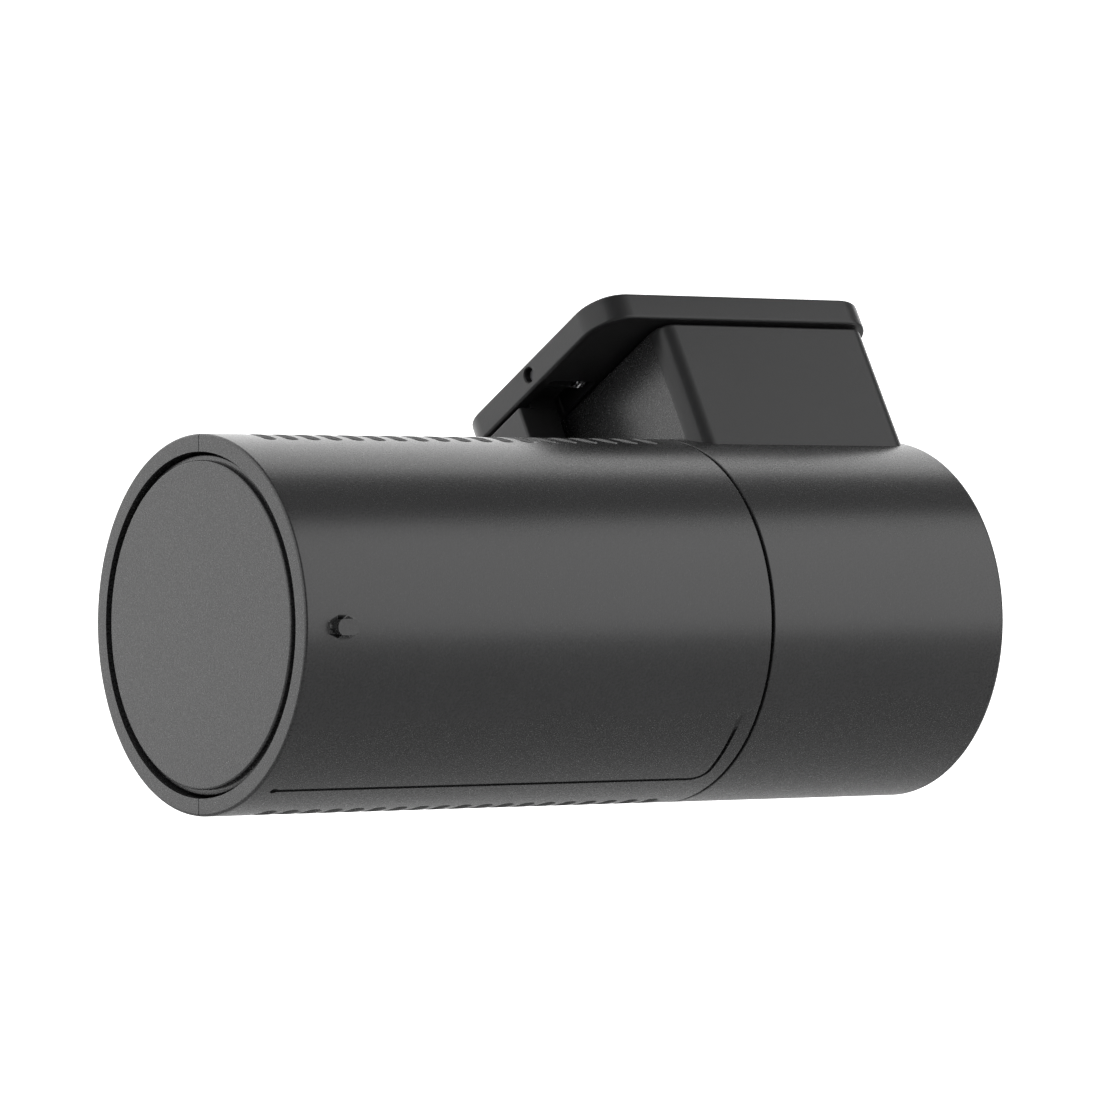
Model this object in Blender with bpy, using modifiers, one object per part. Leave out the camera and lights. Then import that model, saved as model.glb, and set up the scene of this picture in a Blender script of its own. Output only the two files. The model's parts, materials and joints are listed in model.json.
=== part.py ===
"""A cylindrical dash camera on its windscreen bracket, with its inner pieces.

The barrel holds the lens, the boards and the memory card. It turns about the tube's axis on a
swivel in the mount section, whose pedestal slides down onto a T rail under the bracket plate.
The plate sticks to a raked windscreen, so it is tilted by RAKE.

Sizes are in millimetres. The helpers turn them into metres. Two frames are used:
- the tube frame, with X along the tube from its left end, Y towards the road and Z up;
- the plate frame, which is the tube frame turned by RAKE about X, so that Y runs down the
  windscreen and Z is square to it.
The model's origin is the middle of the adhesive pad's outer face.
"""

import math

import bmesh
import bpy
from mathutils import Matrix, Vector

MM = 0.001

# Tube
TUBE_RADIUS = 18.0
WALL = 1.7
BARREL_LENGTH = 54.6
MOUNT_LENGTH = 29.4
GAP = 0.3
PARTING_X = BARREL_LENGTH
TUBE_LENGTH = BARREL_LENGTH + MOUNT_LENGTH
INNER_RADIUS = TUBE_RADIUS - WALL
SEATED_RADIUS = INNER_RADIUS - GAP
BARREL_END = PARTING_X - GAP / 2
MOUNT_START = PARTING_X + GAP / 2

# Vents, in rows along the seams of the two half shells
VENT_FIRST_X = 5.3
VENT_PITCH = 2.5
VENT_WIDTH = 1.2
VENT_HALF_LENGTH = 4.5
VENT_END_MARGIN = 4.0
VENT_COUNT = int((BARREL_END - VENT_END_MARGIN - VENT_FIRST_X) / VENT_PITCH) + 1

# End cover
COVER_RADIUS = 15.5
COVER_GROOVE_DEPTH = 0.6
COVER_FLANGE = 1.2
COVER_SKIRT_DEPTH = 0.9
COVER_SKIRT_WALL = 1.2

# Status light at the rear, and the front light beside the lens
LIGHT_X = 4.1
LIGHT_LENGTH = 2.1
LIGHT_HEIGHT = 1.2
FRONT_LIGHT_X = 13.4
FRONT_LIGHT_Z = 1.5
FRONT_LIGHT_RADIUS = 0.8

# Card bay, behind the end cover
BAY_X = 6.2
BAY_THICKNESS = 1.4
CARD_LENGTH = 15.0
CARD_WIDTH = 11.0
CARD_THICKNESS = 1.0
CARD_X = 4.8
CARD_Y = -2.15
CARD_Z = -6.5
SOCKET_WALL = 0.35
BUTTON_RADIUS = 1.8
BUTTON_FLANGE = 0.5
BUTTON_LIP = 0.6
BUTTON_PROUD = 1.2
BUTTON_TRAVEL = 0.4
BUTTON_Y = -1.5
WIFI_BUTTON_Z = 5.0
FORMAT_BUTTON_Z = 10.4
BAY_SCREW_Y = 2.7
BAY_SCREW_Z = 12.3

# Boards
BOARD_THICKNESS = 1.4
MAIN_BOARD_Y = -5.0
MAIN_BOARD_X = 9.0
MAIN_BOARD_HALF_WIDTH = 13.2
SENSOR_BOARD_Y = 0.6
SENSOR_BOARD_HALF = 10.0

# Lens
LENS_X = 27.0
BEZEL_RADIUS = 10.0
BEZEL_PROUD = 3.0
BEZEL_WALL = 2.2
LENS_BARREL_RADIUS = 7.4
LENS_BARREL_WALL = 1.0
LENS_BARREL_Y = 5.0

# Chassis
RAIL_THICKNESS = 1.1
RAIL_HEIGHT = 4.0
BRIDGE_THICKNESS = 1.2
BEAM_THICKNESS = 1.5

# Swivel
HUB_PLATE = 2.0
HUB_RECESS = 1.1
STUB_RADIUS = 7.0
CABLE_BORE = 3.5
WEB_THICKNESS = 2.0
FRICTION_RING = 1.0
RETAINER_THICKNESS = 1.5
RETAINER_RADIUS = 10.5
HUB_SCREW_COUNT = 3
SCREW_RADIUS = 0.6
SCREW_HEAD_RADIUS = 1.3
SCREW_HEAD = 0.9

# Mount section
JACK_PLATE = 1.8
JACK_DEPTH = 9.6
JACK_NOSE_INSET = 0.2
JACK_BORE_DEPTH = 8.0
DC_PIN_RADIUS = 0.5
POST_HALF_WIDTH = 1.8
POST_LENGTH = 8.0
POST_Z = 11.4
DC_JACK_Y = -6.0
DC_JACK_SIZE = 9.0
DC_JACK_BORE = 2.0
CAMERA_JACK_Y = 6.5
CAMERA_JACK_SIZE = 7.0
CAMERA_JACK_BORE = 1.75
JACK_NOSE_WALL = 1.4
HARNESS_RADIUS = 2.0

# Bracket, in the plate frame
RAKE = math.radians(30.0)
PLATE_LENGTH = 35.2
PLATE_WIDTH = 27.3
PLATE_THICKNESS = 2.9
PLATE_CORNER = 4.0
PLATE_LEFT_OVERHANG = 5.05
PLATE_NEAR_Y = -12.8
PLATE_CLEARANCE = 9.4
PAD_INSET = 2.0
PAD_THICKNESS = 0.8
PEDESTAL_LEFT_INSET = 1.75
PEDESTAL_RIGHT_INSET = 0.8
PEDESTAL_NEAR_Y = -12.4
PEDESTAL_WIDTH = 23.8
PEDESTAL_CORNER = 2.0
RAIL_STEM_WIDTH = 7.0
RAIL_HEAD_WIDTH = 11.0
RAIL_HEAD_THICKNESS = 1.7
RAIL_STEM_DEPTH = 2.45
RAIL_NEAR_WALL = 3.5
RAIL_LENGTH = 16.5

# Lock lever under the plate's left overhang
PIN_Y = 1.0
PIN_RADIUS = 0.6
PIN_LENGTH = 8.0
LEVER_EYE_RADIUS = 1.25
LEVER_ARM_START = 1.6
LEVER_ARM_WIDTH = 3.2
LEVER_TAB_Y = 4.0
LEVER_TAB_THICKNESS = 4.4
SPRING_WIRE = 0.3
SPRING_TURNS = 3
SPRING_PITCH = 0.42
BORE_CLEARANCE = 0.15

PLATE_LEFT = PARTING_X - PLATE_LEFT_OVERHANG
PLATE_BOTTOM = TUBE_RADIUS + PLATE_CLEARANCE
PLATE_TOP = PLATE_BOTTOM + PLATE_THICKNESS
PAD_BOTTOM = PLATE_TOP + GAP
PAD_TOP = PAD_BOTTOM + PAD_THICKNESS
PEDESTAL_TOP = PLATE_BOTTOM - GAP
PEDESTAL_LEFT = MOUNT_START + PEDESTAL_LEFT_INSET
PEDESTAL_RIGHT = TUBE_LENGTH - PEDESTAL_RIGHT_INSET
RAIL_CENTRE_X = (PEDESTAL_LEFT + PEDESTAL_RIGHT) / 2
SLOT_NEAR_Y = PEDESTAL_NEAR_Y + RAIL_NEAR_WALL
RAIL_NEAR_Y = SLOT_NEAR_Y + GAP
PIN_Z = PLATE_TOP - PLATE_THICKNESS / 2 + 0.15
SPRING_START = PLATE_LEFT + LEVER_ARM_START + LEVER_ARM_WIDTH + GAP
SPRING_LENGTH = SPRING_TURNS * SPRING_PITCH + SPRING_WIRE

BIG_STEPS = 64
MID_STEPS = 32
SMALL_STEPS = 16
SCREW_STEPS = 12

# Colour, roughness and metallic value of each finish
FINISHES = {
    "satin_plastic": ((0.085, 0.086, 0.089), 0.42, 0.0),
    "bracket_plastic": ((0.075, 0.076, 0.079), 0.48, 0.0),
    "inner_plastic": ((0.03, 0.03, 0.032), 0.55, 0.0),
    "friction_plastic": ((0.75, 0.74, 0.70), 0.40, 0.0),
    "clear_plastic": ((0.62, 0.63, 0.65), 0.15, 0.0),
    "foam_tape": ((0.045, 0.046, 0.048), 0.85, 0.0),
    "circuit_board": ((0.02, 0.12, 0.06), 0.45, 0.0),
    "chip_resin": ((0.02, 0.02, 0.022), 0.50, 0.0),
    "ceramic": ((0.70, 0.66, 0.55), 0.50, 0.0),
    "glass": ((0.05, 0.06, 0.08), 0.05, 0.0),
    "steel": ((0.55, 0.55, 0.56), 0.30, 1.0),
    "aluminium": ((0.80, 0.80, 0.82), 0.35, 1.0),
    "brass": ((0.80, 0.60, 0.28), 0.30, 1.0),
    "cable_jacket": ((0.02, 0.02, 0.02), 0.55, 0.0),
    "thermal_gel": ((0.45, 0.47, 0.55), 0.80, 0.0),
    "light": ((0.90, 0.88, 0.70), 0.30, 0.0),
}


# ---- helpers ----------------------------------------------------------------------------------


def clear_scene():
    for obj in list(bpy.data.objects):
        bpy.data.objects.remove(obj)


def new_collection(name, hidden):
    collection = bpy.data.collections.new(name)
    collection.hide_render = hidden
    bpy.context.scene.collection.children.link(collection)
    return collection


def new_frame(name, parent, place=(0, 0, 0), tilt=0.0):
    """An empty that carries pieces, at a place in its parent's frame and turned about X."""
    frame = bpy.data.objects.new(name, None)
    frame.parent = parent
    frame.location = Vector(place) * MM
    frame.rotation_euler = (tilt, 0, 0)
    frame.empty_display_size = 5 * MM
    PARTS.objects.link(frame)
    return frame


def new_material(name, finish):
    colour, roughness, metallic = FINISHES[finish]
    material = bpy.data.materials.new(name)
    material.use_nodes = True
    shader = material.node_tree.nodes["Principled BSDF"]
    shader.inputs["Base Color"].default_value = (*colour, 1)
    shader.inputs["Roughness"].default_value = roughness
    shader.inputs["Metallic"].default_value = metallic
    return material


def add_object(name, mesh, parent, finish, place, turn=(0, 0, 0)):
    """Links a mesh as a sub-part with its material, or as a hidden helper where finish is None."""
    obj = bpy.data.objects.new(name, mesh)
    obj.parent = parent
    obj.location = Vector(place) * MM
    obj.rotation_euler = turn
    if finish is None:
        HELPERS.objects.link(obj)
        obj.hide_render = True
        obj.display_type = "WIRE"
        return obj
    PARTS.objects.link(obj)
    mesh.materials.append(new_material(name + "_finish", finish))
    return obj


def mesh_of(name, shape):
    mesh = bpy.data.meshes.new(name)
    shape.to_mesh(mesh)
    shape.free()
    return mesh


def block(name, low, high, parent, finish=None, corner=0.0, along=2, segments=4):
    """A box between two corners, whose edges along one axis can be rounded."""
    low = Vector(low)
    high = Vector(high)
    shape = bmesh.new()
    bmesh.ops.create_cube(shape, size=1)
    bmesh.ops.scale(shape, vec=(high - low) * MM, verts=shape.verts)
    if corner:
        edges = [e for e in shape.edges if is_along(e, along)]
        bmesh.ops.bevel(
            shape, geom=edges, offset=corner * MM, segments=segments, affect="EDGES", profile=0.5
        )
    return add_object(name, mesh_of(name, shape), parent, finish, (low + high) / 2)


def is_along(edge, axis):
    run = edge.verts[1].co - edge.verts[0].co
    return abs(run[axis]) > 0.99 * run.length


def rod(name, start, length, radius, parent, finish=None, axis=0, steps=SMALL_STEPS):
    """A cylinder that starts at a point and runs along an axis."""
    shape = bmesh.new()
    bmesh.ops.create_cone(
        shape,
        cap_ends=True,
        segments=steps,
        radius1=radius * MM,
        radius2=radius * MM,
        depth=length * MM,
    )
    turn = {0: Matrix.Rotation(math.pi / 2, 3, "Y"), 1: Matrix.Rotation(-math.pi / 2, 3, "X")}
    if axis in turn:
        bmesh.ops.rotate(shape, matrix=turn[axis], verts=shape.verts)
    centre = Vector(start)
    centre[axis] += length / 2
    mesh = mesh_of(name, shape)
    mesh.shade_smooth()
    mesh.set_sharp_from_angle(angle=math.radians(40))
    return add_object(name, mesh, parent, finish, centre)


def turned(name, profile, parent, finish=None, axis=0, place=(0, 0, 0), steps=BIG_STEPS):
    """A profile of (along, radius) points turned about X or Y. It closes itself off the axis."""
    points = [Vector((along, radius)) for along, radius in profile]
    area = sum(a.x * b.y - b.x * a.y for a, b in zip(points, points[1:] + points[:1]))
    if area < 0:
        points.reverse()
    shape = bmesh.new()
    verts = []
    for along, radius in points:
        spot = (along, radius, 0) if axis == 0 else (0, along, radius)
        verts.append(shape.verts.new(Vector(spot) * MM))
    for first, second in zip(verts, verts[1:]):
        shape.edges.new((first, second))
    if points[0].y > 0:
        shape.edges.new((verts[-1], verts[0]))
    obj = add_object(name, mesh_of(name, shape), parent, finish, place)
    add_screw(obj, "XY"[axis], 2 * math.pi, steps)
    return obj


def add_screw(obj, axis, angle, steps):
    screw = obj.modifiers.new("turn", "SCREW")
    screw.axis = axis
    screw.angle = angle
    screw.steps = steps
    screw.render_steps = steps
    screw.use_merge_vertices = True
    screw.merge_threshold = 1e-5
    screw.use_smooth_shade = True


def combine(target, other, operation):
    modifier = target.modifiers.new(other.name, "BOOLEAN")
    modifier.operation = operation
    modifier.object = other
    modifier.solver = "EXACT"


def cut(target, *cutters):
    for cutter in cutters:
        combine(target, cutter, "DIFFERENCE")


def join(target, *others):
    for other in others:
        combine(target, other, "UNION")


def screw(name, start, reach, parent, axis=0):
    """A screw whose head's outer face is at start. Its shank runs on by reach, along +X or -X."""
    side = 1 if reach > 0 else -1
    x, y, z = start
    head_low = min(x, x + side * SCREW_HEAD)
    head = rod(
        name, (head_low, y, z), SCREW_HEAD, SCREW_HEAD_RADIUS, parent, "steel", axis, SCREW_STEPS
    )
    overlap = SCREW_HEAD / 2
    length = abs(reach) - overlap
    shank_low = x + side * overlap if side > 0 else x + reach
    shank = rod(name + "_shank", (shank_low, y, z), length, SCREW_RADIUS, parent, None, axis, 8)
    join(head, shank)
    return head


# ---- bracket ----------------------------------------------------------------------------------


def build_bracket(frame):
    right = PLATE_LEFT + PLATE_LENGTH
    far = PLATE_NEAR_Y + PLATE_WIDTH
    plate = block(
        "bracket_plate",
        (PLATE_LEFT, PLATE_NEAR_Y, PLATE_BOTTOM),
        (right, far, PLATE_TOP),
        frame,
        "bracket_plastic",
        PLATE_CORNER,
    )
    stem_low = PLATE_BOTTOM - RAIL_STEM_DEPTH
    half_stem = RAIL_STEM_WIDTH / 2
    half_head = RAIL_HEAD_WIDTH / 2
    rail_far = RAIL_NEAR_Y + RAIL_LENGTH
    sunk = PLATE_THICKNESS / 3
    stem = block(
        "rail_stem",
        (RAIL_CENTRE_X - half_stem, RAIL_NEAR_Y, stem_low - RAIL_HEAD_THICKNESS / 2),
        (RAIL_CENTRE_X + half_stem, rail_far, PLATE_BOTTOM + sunk),
        frame,
    )
    head = block(
        "rail_head",
        (RAIL_CENTRE_X - half_head, RAIL_NEAR_Y, stem_low - RAIL_HEAD_THICKNESS),
        (RAIL_CENTRE_X + half_head, rail_far, stem_low),
        frame,
        corner=0.8,
        segments=2,
    )
    join(plate, stem, head)
    lever_slot = block(
        "lever_slot",
        (PLATE_LEFT + LEVER_ARM_START - GAP, PIN_Y - LEVER_EYE_RADIUS - GAP, PLATE_BOTTOM - 1),
        (SPRING_START + SPRING_LENGTH + GAP, LEVER_TAB_Y + 2.0, PLATE_TOP + 1),
        frame,
    )
    pin_bore = rod(
        "pin_bore",
        (PLATE_LEFT - 1, PIN_Y, PIN_Z),
        PIN_LENGTH + 2,
        PIN_RADIUS + BORE_CLEARANCE,
        frame,
        steps=SCREW_STEPS,
    )
    cut(plate, lever_slot, pin_bore)
    block(
        "adhesive_pad",
        (PLATE_LEFT + PAD_INSET, PLATE_NEAR_Y + PAD_INSET, PAD_BOTTOM),
        (right - PAD_INSET, far - PAD_INSET, PAD_TOP),
        frame,
        "foam_tape",
        PLATE_CORNER - 0.8,
    )


def build_lock(bracket, pivot):
    """The lever turns about its pin, so its frame is on the pin's axis."""
    rod(
        "lock_pin",
        (PLATE_LEFT + 0.5, PIN_Y, PIN_Z),
        PIN_LENGTH,
        PIN_RADIUS,
        bracket,
        "steel",
        steps=SCREW_STEPS,
    )
    arm_x = PLATE_LEFT + LEVER_ARM_START
    lever = rod(
        "lock_lever",
        (arm_x, 0, 0),
        LEVER_ARM_WIDTH,
        LEVER_EYE_RADIUS,
        pivot,
        "bracket_plastic",
        steps=SCREW_STEPS,
    )
    tab_y = LEVER_TAB_Y - PIN_Y
    far = PLATE_NEAR_Y + PLATE_WIDTH - PIN_Y
    tab_top = PEDESTAL_TOP - PIN_Z
    arm_top = LEVER_EYE_RADIUS - 0.25
    arm = block(
        "lever_arm", (arm_x, 0.4, -0.9), (arm_x + LEVER_ARM_WIDTH, tab_y + 1.4, arm_top), pivot
    )
    leg = block(
        "lever_leg",
        (arm_x, tab_y + 0.1, tab_top - 0.8),
        (arm_x + LEVER_ARM_WIDTH, tab_y + 1.4, arm_top),
        pivot,
    )
    tab = block(
        "lever_tab",
        (PLATE_LEFT, tab_y, tab_top - LEVER_TAB_THICKNESS),
        (arm_x + LEVER_ARM_WIDTH, far, tab_top),
        pivot,
        corner=1.2,
    )
    eye = rod(
        "lever_eye",
        (arm_x - 1, 0, 0),
        LEVER_ARM_WIDTH + 2,
        PIN_RADIUS + BORE_CLEARANCE,
        pivot,
        steps=SCREW_STEPS,
    )
    join(lever, arm, leg, tab)
    cut(lever, eye)
    build_lock_spring(bracket)


def build_lock_spring(bracket):
    """A torsion spring round the pin: a helix as one poly spline."""
    points_per_turn = 10
    radius = LEVER_EYE_RADIUS - SPRING_WIRE / 2
    curve = bpy.data.curves.new("lock_spring", "CURVE")
    curve.dimensions = "3D"
    curve.bevel_depth = SPRING_WIRE / 2 * MM
    curve.bevel_resolution = 1
    curve.use_fill_caps = True
    spline = curve.splines.new("POLY")
    count = SPRING_TURNS * points_per_turn + 1
    spline.points.add(count - 1)
    for i in range(count):
        turn = 2 * math.pi * i / points_per_turn
        x = SPRING_WIRE / 2 + SPRING_PITCH * i / points_per_turn
        place = Vector((x, radius * math.cos(turn), radius * math.sin(turn))) * MM
        spline.points[i].co = (*place, 1)
    add_object("lock_spring", curve, bracket, "steel", (SPRING_START, PIN_Y, PIN_Z))


# ---- mount section ----------------------------------------------------------------------------


def build_mount_housing(tube, plate_frame):
    """A turned tube with a web for the swivel, joined to the pedestal that holds the T slot."""
    web = MOUNT_START + GAP * 2
    housing = turned(
        "mount_housing",
        [
            (MOUNT_START, INNER_RADIUS),
            (MOUNT_START, TUBE_RADIUS),
            (TUBE_LENGTH, TUBE_RADIUS),
            (TUBE_LENGTH, INNER_RADIUS),
            (web + WEB_THICKNESS, INNER_RADIUS),
            (web + WEB_THICKNESS, STUB_RADIUS + GAP),
            (web, STUB_RADIUS + GAP),
            (web, INNER_RADIUS),
        ],
        tube,
        "satin_plastic",
    )
    pedestal = block(
        "pedestal",
        (PEDESTAL_LEFT, PEDESTAL_NEAR_Y, TUBE_RADIUS / 2),
        (PEDESTAL_RIGHT, PEDESTAL_NEAR_Y + PEDESTAL_WIDTH, PEDESTAL_TOP),
        plate_frame,
        corner=PEDESTAL_CORNER,
    )
    saddle = rod(
        "saddle",
        (MOUNT_START - 5, 0, 0),
        MOUNT_LENGTH + 10,
        TUBE_RADIUS - WALL / 2,
        tube,
        steps=BIG_STEPS,
    )
    cut(pedestal, saddle)
    slot_far = PEDESTAL_NEAR_Y + PEDESTAL_WIDTH + 2
    half_stem = RAIL_STEM_WIDTH / 2 + GAP
    half_head = RAIL_HEAD_WIDTH / 2 + GAP
    head_top = PLATE_BOTTOM - RAIL_STEM_DEPTH + GAP
    head_low = head_top - RAIL_HEAD_THICKNESS - 2 * GAP
    stem_slot = block(
        "stem_slot",
        (RAIL_CENTRE_X - half_stem, SLOT_NEAR_Y, head_top - 1),
        (RAIL_CENTRE_X + half_stem, slot_far, PLATE_TOP),
        plate_frame,
    )
    head_slot = block(
        "head_slot",
        (RAIL_CENTRE_X - half_head, SLOT_NEAR_Y, head_low),
        (RAIL_CENTRE_X + half_head, slot_far, head_top),
        plate_frame,
    )
    cut(pedestal, stem_slot, head_slot)
    join(housing, pedestal)
    inner_end = TUBE_LENGTH - JACK_PLATE - GAP
    for side in (-1, 1):
        low = POST_Z - POST_HALF_WIDTH
        high = INNER_RADIUS + WALL / 2 - 0.1
        heights = sorted((side * low, side * high))
        post = block(
            f"jack_plate_post_{side + 2}",
            (inner_end - POST_LENGTH, -POST_HALF_WIDTH, heights[0]),
            (inner_end, POST_HALF_WIDTH, heights[1]),
            tube,
        )
        bore = rod(
            f"jack_plate_post_bore_{side + 2}",
            (inner_end - POST_LENGTH + 1, 0, side * POST_Z),
            POST_LENGTH + 1,
            SCREW_RADIUS + GAP,
            tube,
            steps=SCREW_STEPS,
        )
        join(housing, post)
        cut(housing, bore)


def build_jack_plate(tube):
    start = TUBE_LENGTH - JACK_PLATE
    plate = turned(
        "jack_plate",
        [(start, 0), (start, SEATED_RADIUS), (TUBE_LENGTH, SEATED_RADIUS), (TUBE_LENGTH, 0)],
        tube,
        "satin_plastic",
    )
    for name, y, bore in (
        ("dc_jack_hole", DC_JACK_Y, DC_JACK_BORE),
        ("camera_jack_hole", CAMERA_JACK_Y, CAMERA_JACK_BORE),
    ):
        radius = bore + JACK_NOSE_WALL + GAP
        cut(plate, rod(name, (start - 1, y, 0), JACK_PLATE + 2, radius, tube, steps=24))
    for number, side in ((1, -1), (2, 1)):
        spot = (start - 1, 0, side * POST_Z)
        hole = rod(
            f"jack_screw_hole_{number}",
            spot,
            JACK_PLATE + 2,
            SCREW_RADIUS + GAP,
            tube,
            steps=SCREW_STEPS,
        )
        sink_x = TUBE_LENGTH - SCREW_HEAD - GAP
        sink = rod(
            f"jack_screw_sink_{number}",
            (sink_x, 0, side * POST_Z),
            3,
            SCREW_HEAD_RADIUS + GAP,
            tube,
            steps=SMALL_STEPS,
        )
        cut(plate, hole, sink)
        screw(f"jack_plate_screw_{number}", (TUBE_LENGTH - 0.1, 0, side * POST_Z), -8.0, tube)


def build_jack(name, y, size, bore, pin_radius, tube):
    """A round socket: a body on the jack board, and a nose that ends flush with the plate."""
    body_end = TUBE_LENGTH - JACK_PLATE - GAP
    body_start = body_end - JACK_DEPTH
    half = size / 2
    body = block(
        name,
        (body_start, y - half, -half),
        (body_end, y + half, half),
        tube,
        "inner_plastic",
        0.4,
        along=0,
        segments=2,
    )
    nose_end = TUBE_LENGTH - JACK_NOSE_INSET
    nose = rod(
        name + "_nose",
        (body_end - 1, y, 0),
        nose_end - body_end + 1,
        bore + JACK_NOSE_WALL,
        tube,
        steps=24,
    )
    bottom = nose_end - JACK_BORE_DEPTH
    hollow = rod(name + "_bore", (bottom, y, 0), JACK_BORE_DEPTH + 1, bore, tube, steps=24)
    join(body, nose)
    cut(body, hollow)
    if pin_radius:
        pin = rod(name + "_pin", (bottom - 1, y, 0), JACK_BORE_DEPTH - 1, pin_radius, tube, steps=8)
        join(body, pin)


def build_mount_section(tube, plate_frame):
    build_mount_housing(tube, plate_frame)
    build_jack_plate(tube)
    build_jack("dc_jack", DC_JACK_Y, DC_JACK_SIZE, DC_JACK_BORE, DC_PIN_RADIUS, tube)
    build_jack("camera_jack", CAMERA_JACK_Y, CAMERA_JACK_SIZE, CAMERA_JACK_BORE, 0, tube)
    board_x = TUBE_LENGTH - JACK_PLATE - 2 * GAP - JACK_DEPTH - BOARD_THICKNESS
    rod(
        "jack_board",
        (board_x, 0, 0),
        BOARD_THICKNESS,
        SEATED_RADIUS - GAP,
        tube,
        "circuit_board",
        steps=MID_STEPS,
    )
    ring_x = MOUNT_START + 2 * GAP + WEB_THICKNESS + GAP
    turned(
        "swivel_friction_ring",
        [
            (ring_x, STUB_RADIUS + GAP),
            (ring_x, RETAINER_RADIUS),
            (ring_x + FRICTION_RING, RETAINER_RADIUS),
            (ring_x + FRICTION_RING, STUB_RADIUS + GAP),
        ],
        tube,
        "friction_plastic",
        steps=MID_STEPS,
    )
    harness_x = BARREL_END - HUB_RECESS - HUB_PLATE - GAP
    rod(
        "wire_harness",
        (harness_x, 0, 0),
        board_x - GAP - harness_x,
        HARNESS_RADIUS,
        tube,
        "cable_jacket",
    )


# ---- barrel shells and end pieces -------------------------------------------------------------


def vent_comb(tube):
    """One cutter for all the vents: a row of bars over the top seam and one under the bottom."""
    shape = bmesh.new()
    depth = TUBE_RADIUS - 3 * WALL
    for side in (-1, 1):
        for i in range(VENT_COUNT):
            made = bmesh.ops.create_cube(shape, size=1)["verts"]
            size = Vector((VENT_WIDTH, 2 * VENT_HALF_LENGTH, 2 * WALL + 2))
            centre = Vector((VENT_FIRST_X + VENT_PITCH * i, 0, side * (depth + WALL + 3)))
            bmesh.ops.scale(shape, vec=size * MM, verts=made)
            bmesh.ops.translate(shape, vec=centre * MM, verts=made)
    return add_object("vent_comb", mesh_of("vent_comb", shape), tube, None, (0, 0, 0))


def half_shell(name, side, tube):
    """Half of the barrel's wall: an arc of sheet turned about X, then thickened inwards."""
    seam = math.asin(GAP / 2 / TUBE_RADIUS)
    start = seam if side > 0 else seam + math.pi
    shape = bmesh.new()
    ends = []
    for x in (BARREL_END, 0):
        spot = Vector((x, TUBE_RADIUS * math.sin(start), -TUBE_RADIUS * math.cos(start)))
        ends.append(shape.verts.new(spot * MM))
    shape.edges.new(ends)
    obj = add_object(name, mesh_of(name, shape), tube, "satin_plastic", (0, 0, 0))
    add_screw(obj, "X", math.pi - 2 * seam, BIG_STEPS // 2)
    wall = obj.modifiers.new("wall", "SOLIDIFY")
    wall.thickness = WALL * MM
    wall.offset = -1
    wall.use_even_offset = True
    return obj


def build_shells(tube):
    comb = vent_comb(tube)
    rear = half_shell("rear_shell", -1, tube)
    front = half_shell("front_shell", 1, tube)
    window = block(
        "light_window",
        (LIGHT_X - LIGHT_LENGTH / 2 - GAP, -TUBE_RADIUS - 2, -LIGHT_HEIGHT / 2 - GAP),
        (LIGHT_X + LIGHT_LENGTH / 2 + GAP, -TUBE_RADIUS + 2 * WALL, LIGHT_HEIGHT / 2 + GAP),
        tube,
        corner=LIGHT_HEIGHT / 2,
        along=1,
        segments=3,
    )
    cut(rear, comb, window)
    lens_hole = rod(
        "lens_hole",
        (LENS_X, INNER_RADIUS / 2, 0),
        TUBE_RADIUS,
        BEZEL_RADIUS + GAP,
        tube,
        axis=1,
        steps=MID_STEPS,
    )
    light_hole = rod(
        "front_light_hole",
        (FRONT_LIGHT_X, INNER_RADIUS / 2, FRONT_LIGHT_Z),
        TUBE_RADIUS,
        FRONT_LIGHT_RADIUS + GAP,
        tube,
        axis=1,
        steps=SCREW_STEPS,
    )
    cut(front, comb, lens_hole, light_hole)


def build_end_cover(tube):
    """A disc flush with the rim. Its flange makes the groove's floor, and its skirt stiffens it."""
    flange_back = COVER_GROOVE_DEPTH + COVER_FLANGE
    skirt = COVER_RADIUS - 0.5
    turned(
        "end_cover",
        [
            (0, 0),
            (0, COVER_RADIUS),
            (COVER_GROOVE_DEPTH, COVER_RADIUS),
            (COVER_GROOVE_DEPTH, SEATED_RADIUS),
            (flange_back, SEATED_RADIUS),
            (flange_back, skirt),
            (flange_back + COVER_SKIRT_DEPTH, skirt),
            (flange_back + COVER_SKIRT_DEPTH, skirt - COVER_SKIRT_WALL),
            (flange_back, skirt - COVER_SKIRT_WALL),
            (flange_back, 0),
        ],
        tube,
        "satin_plastic",
    )


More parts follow.
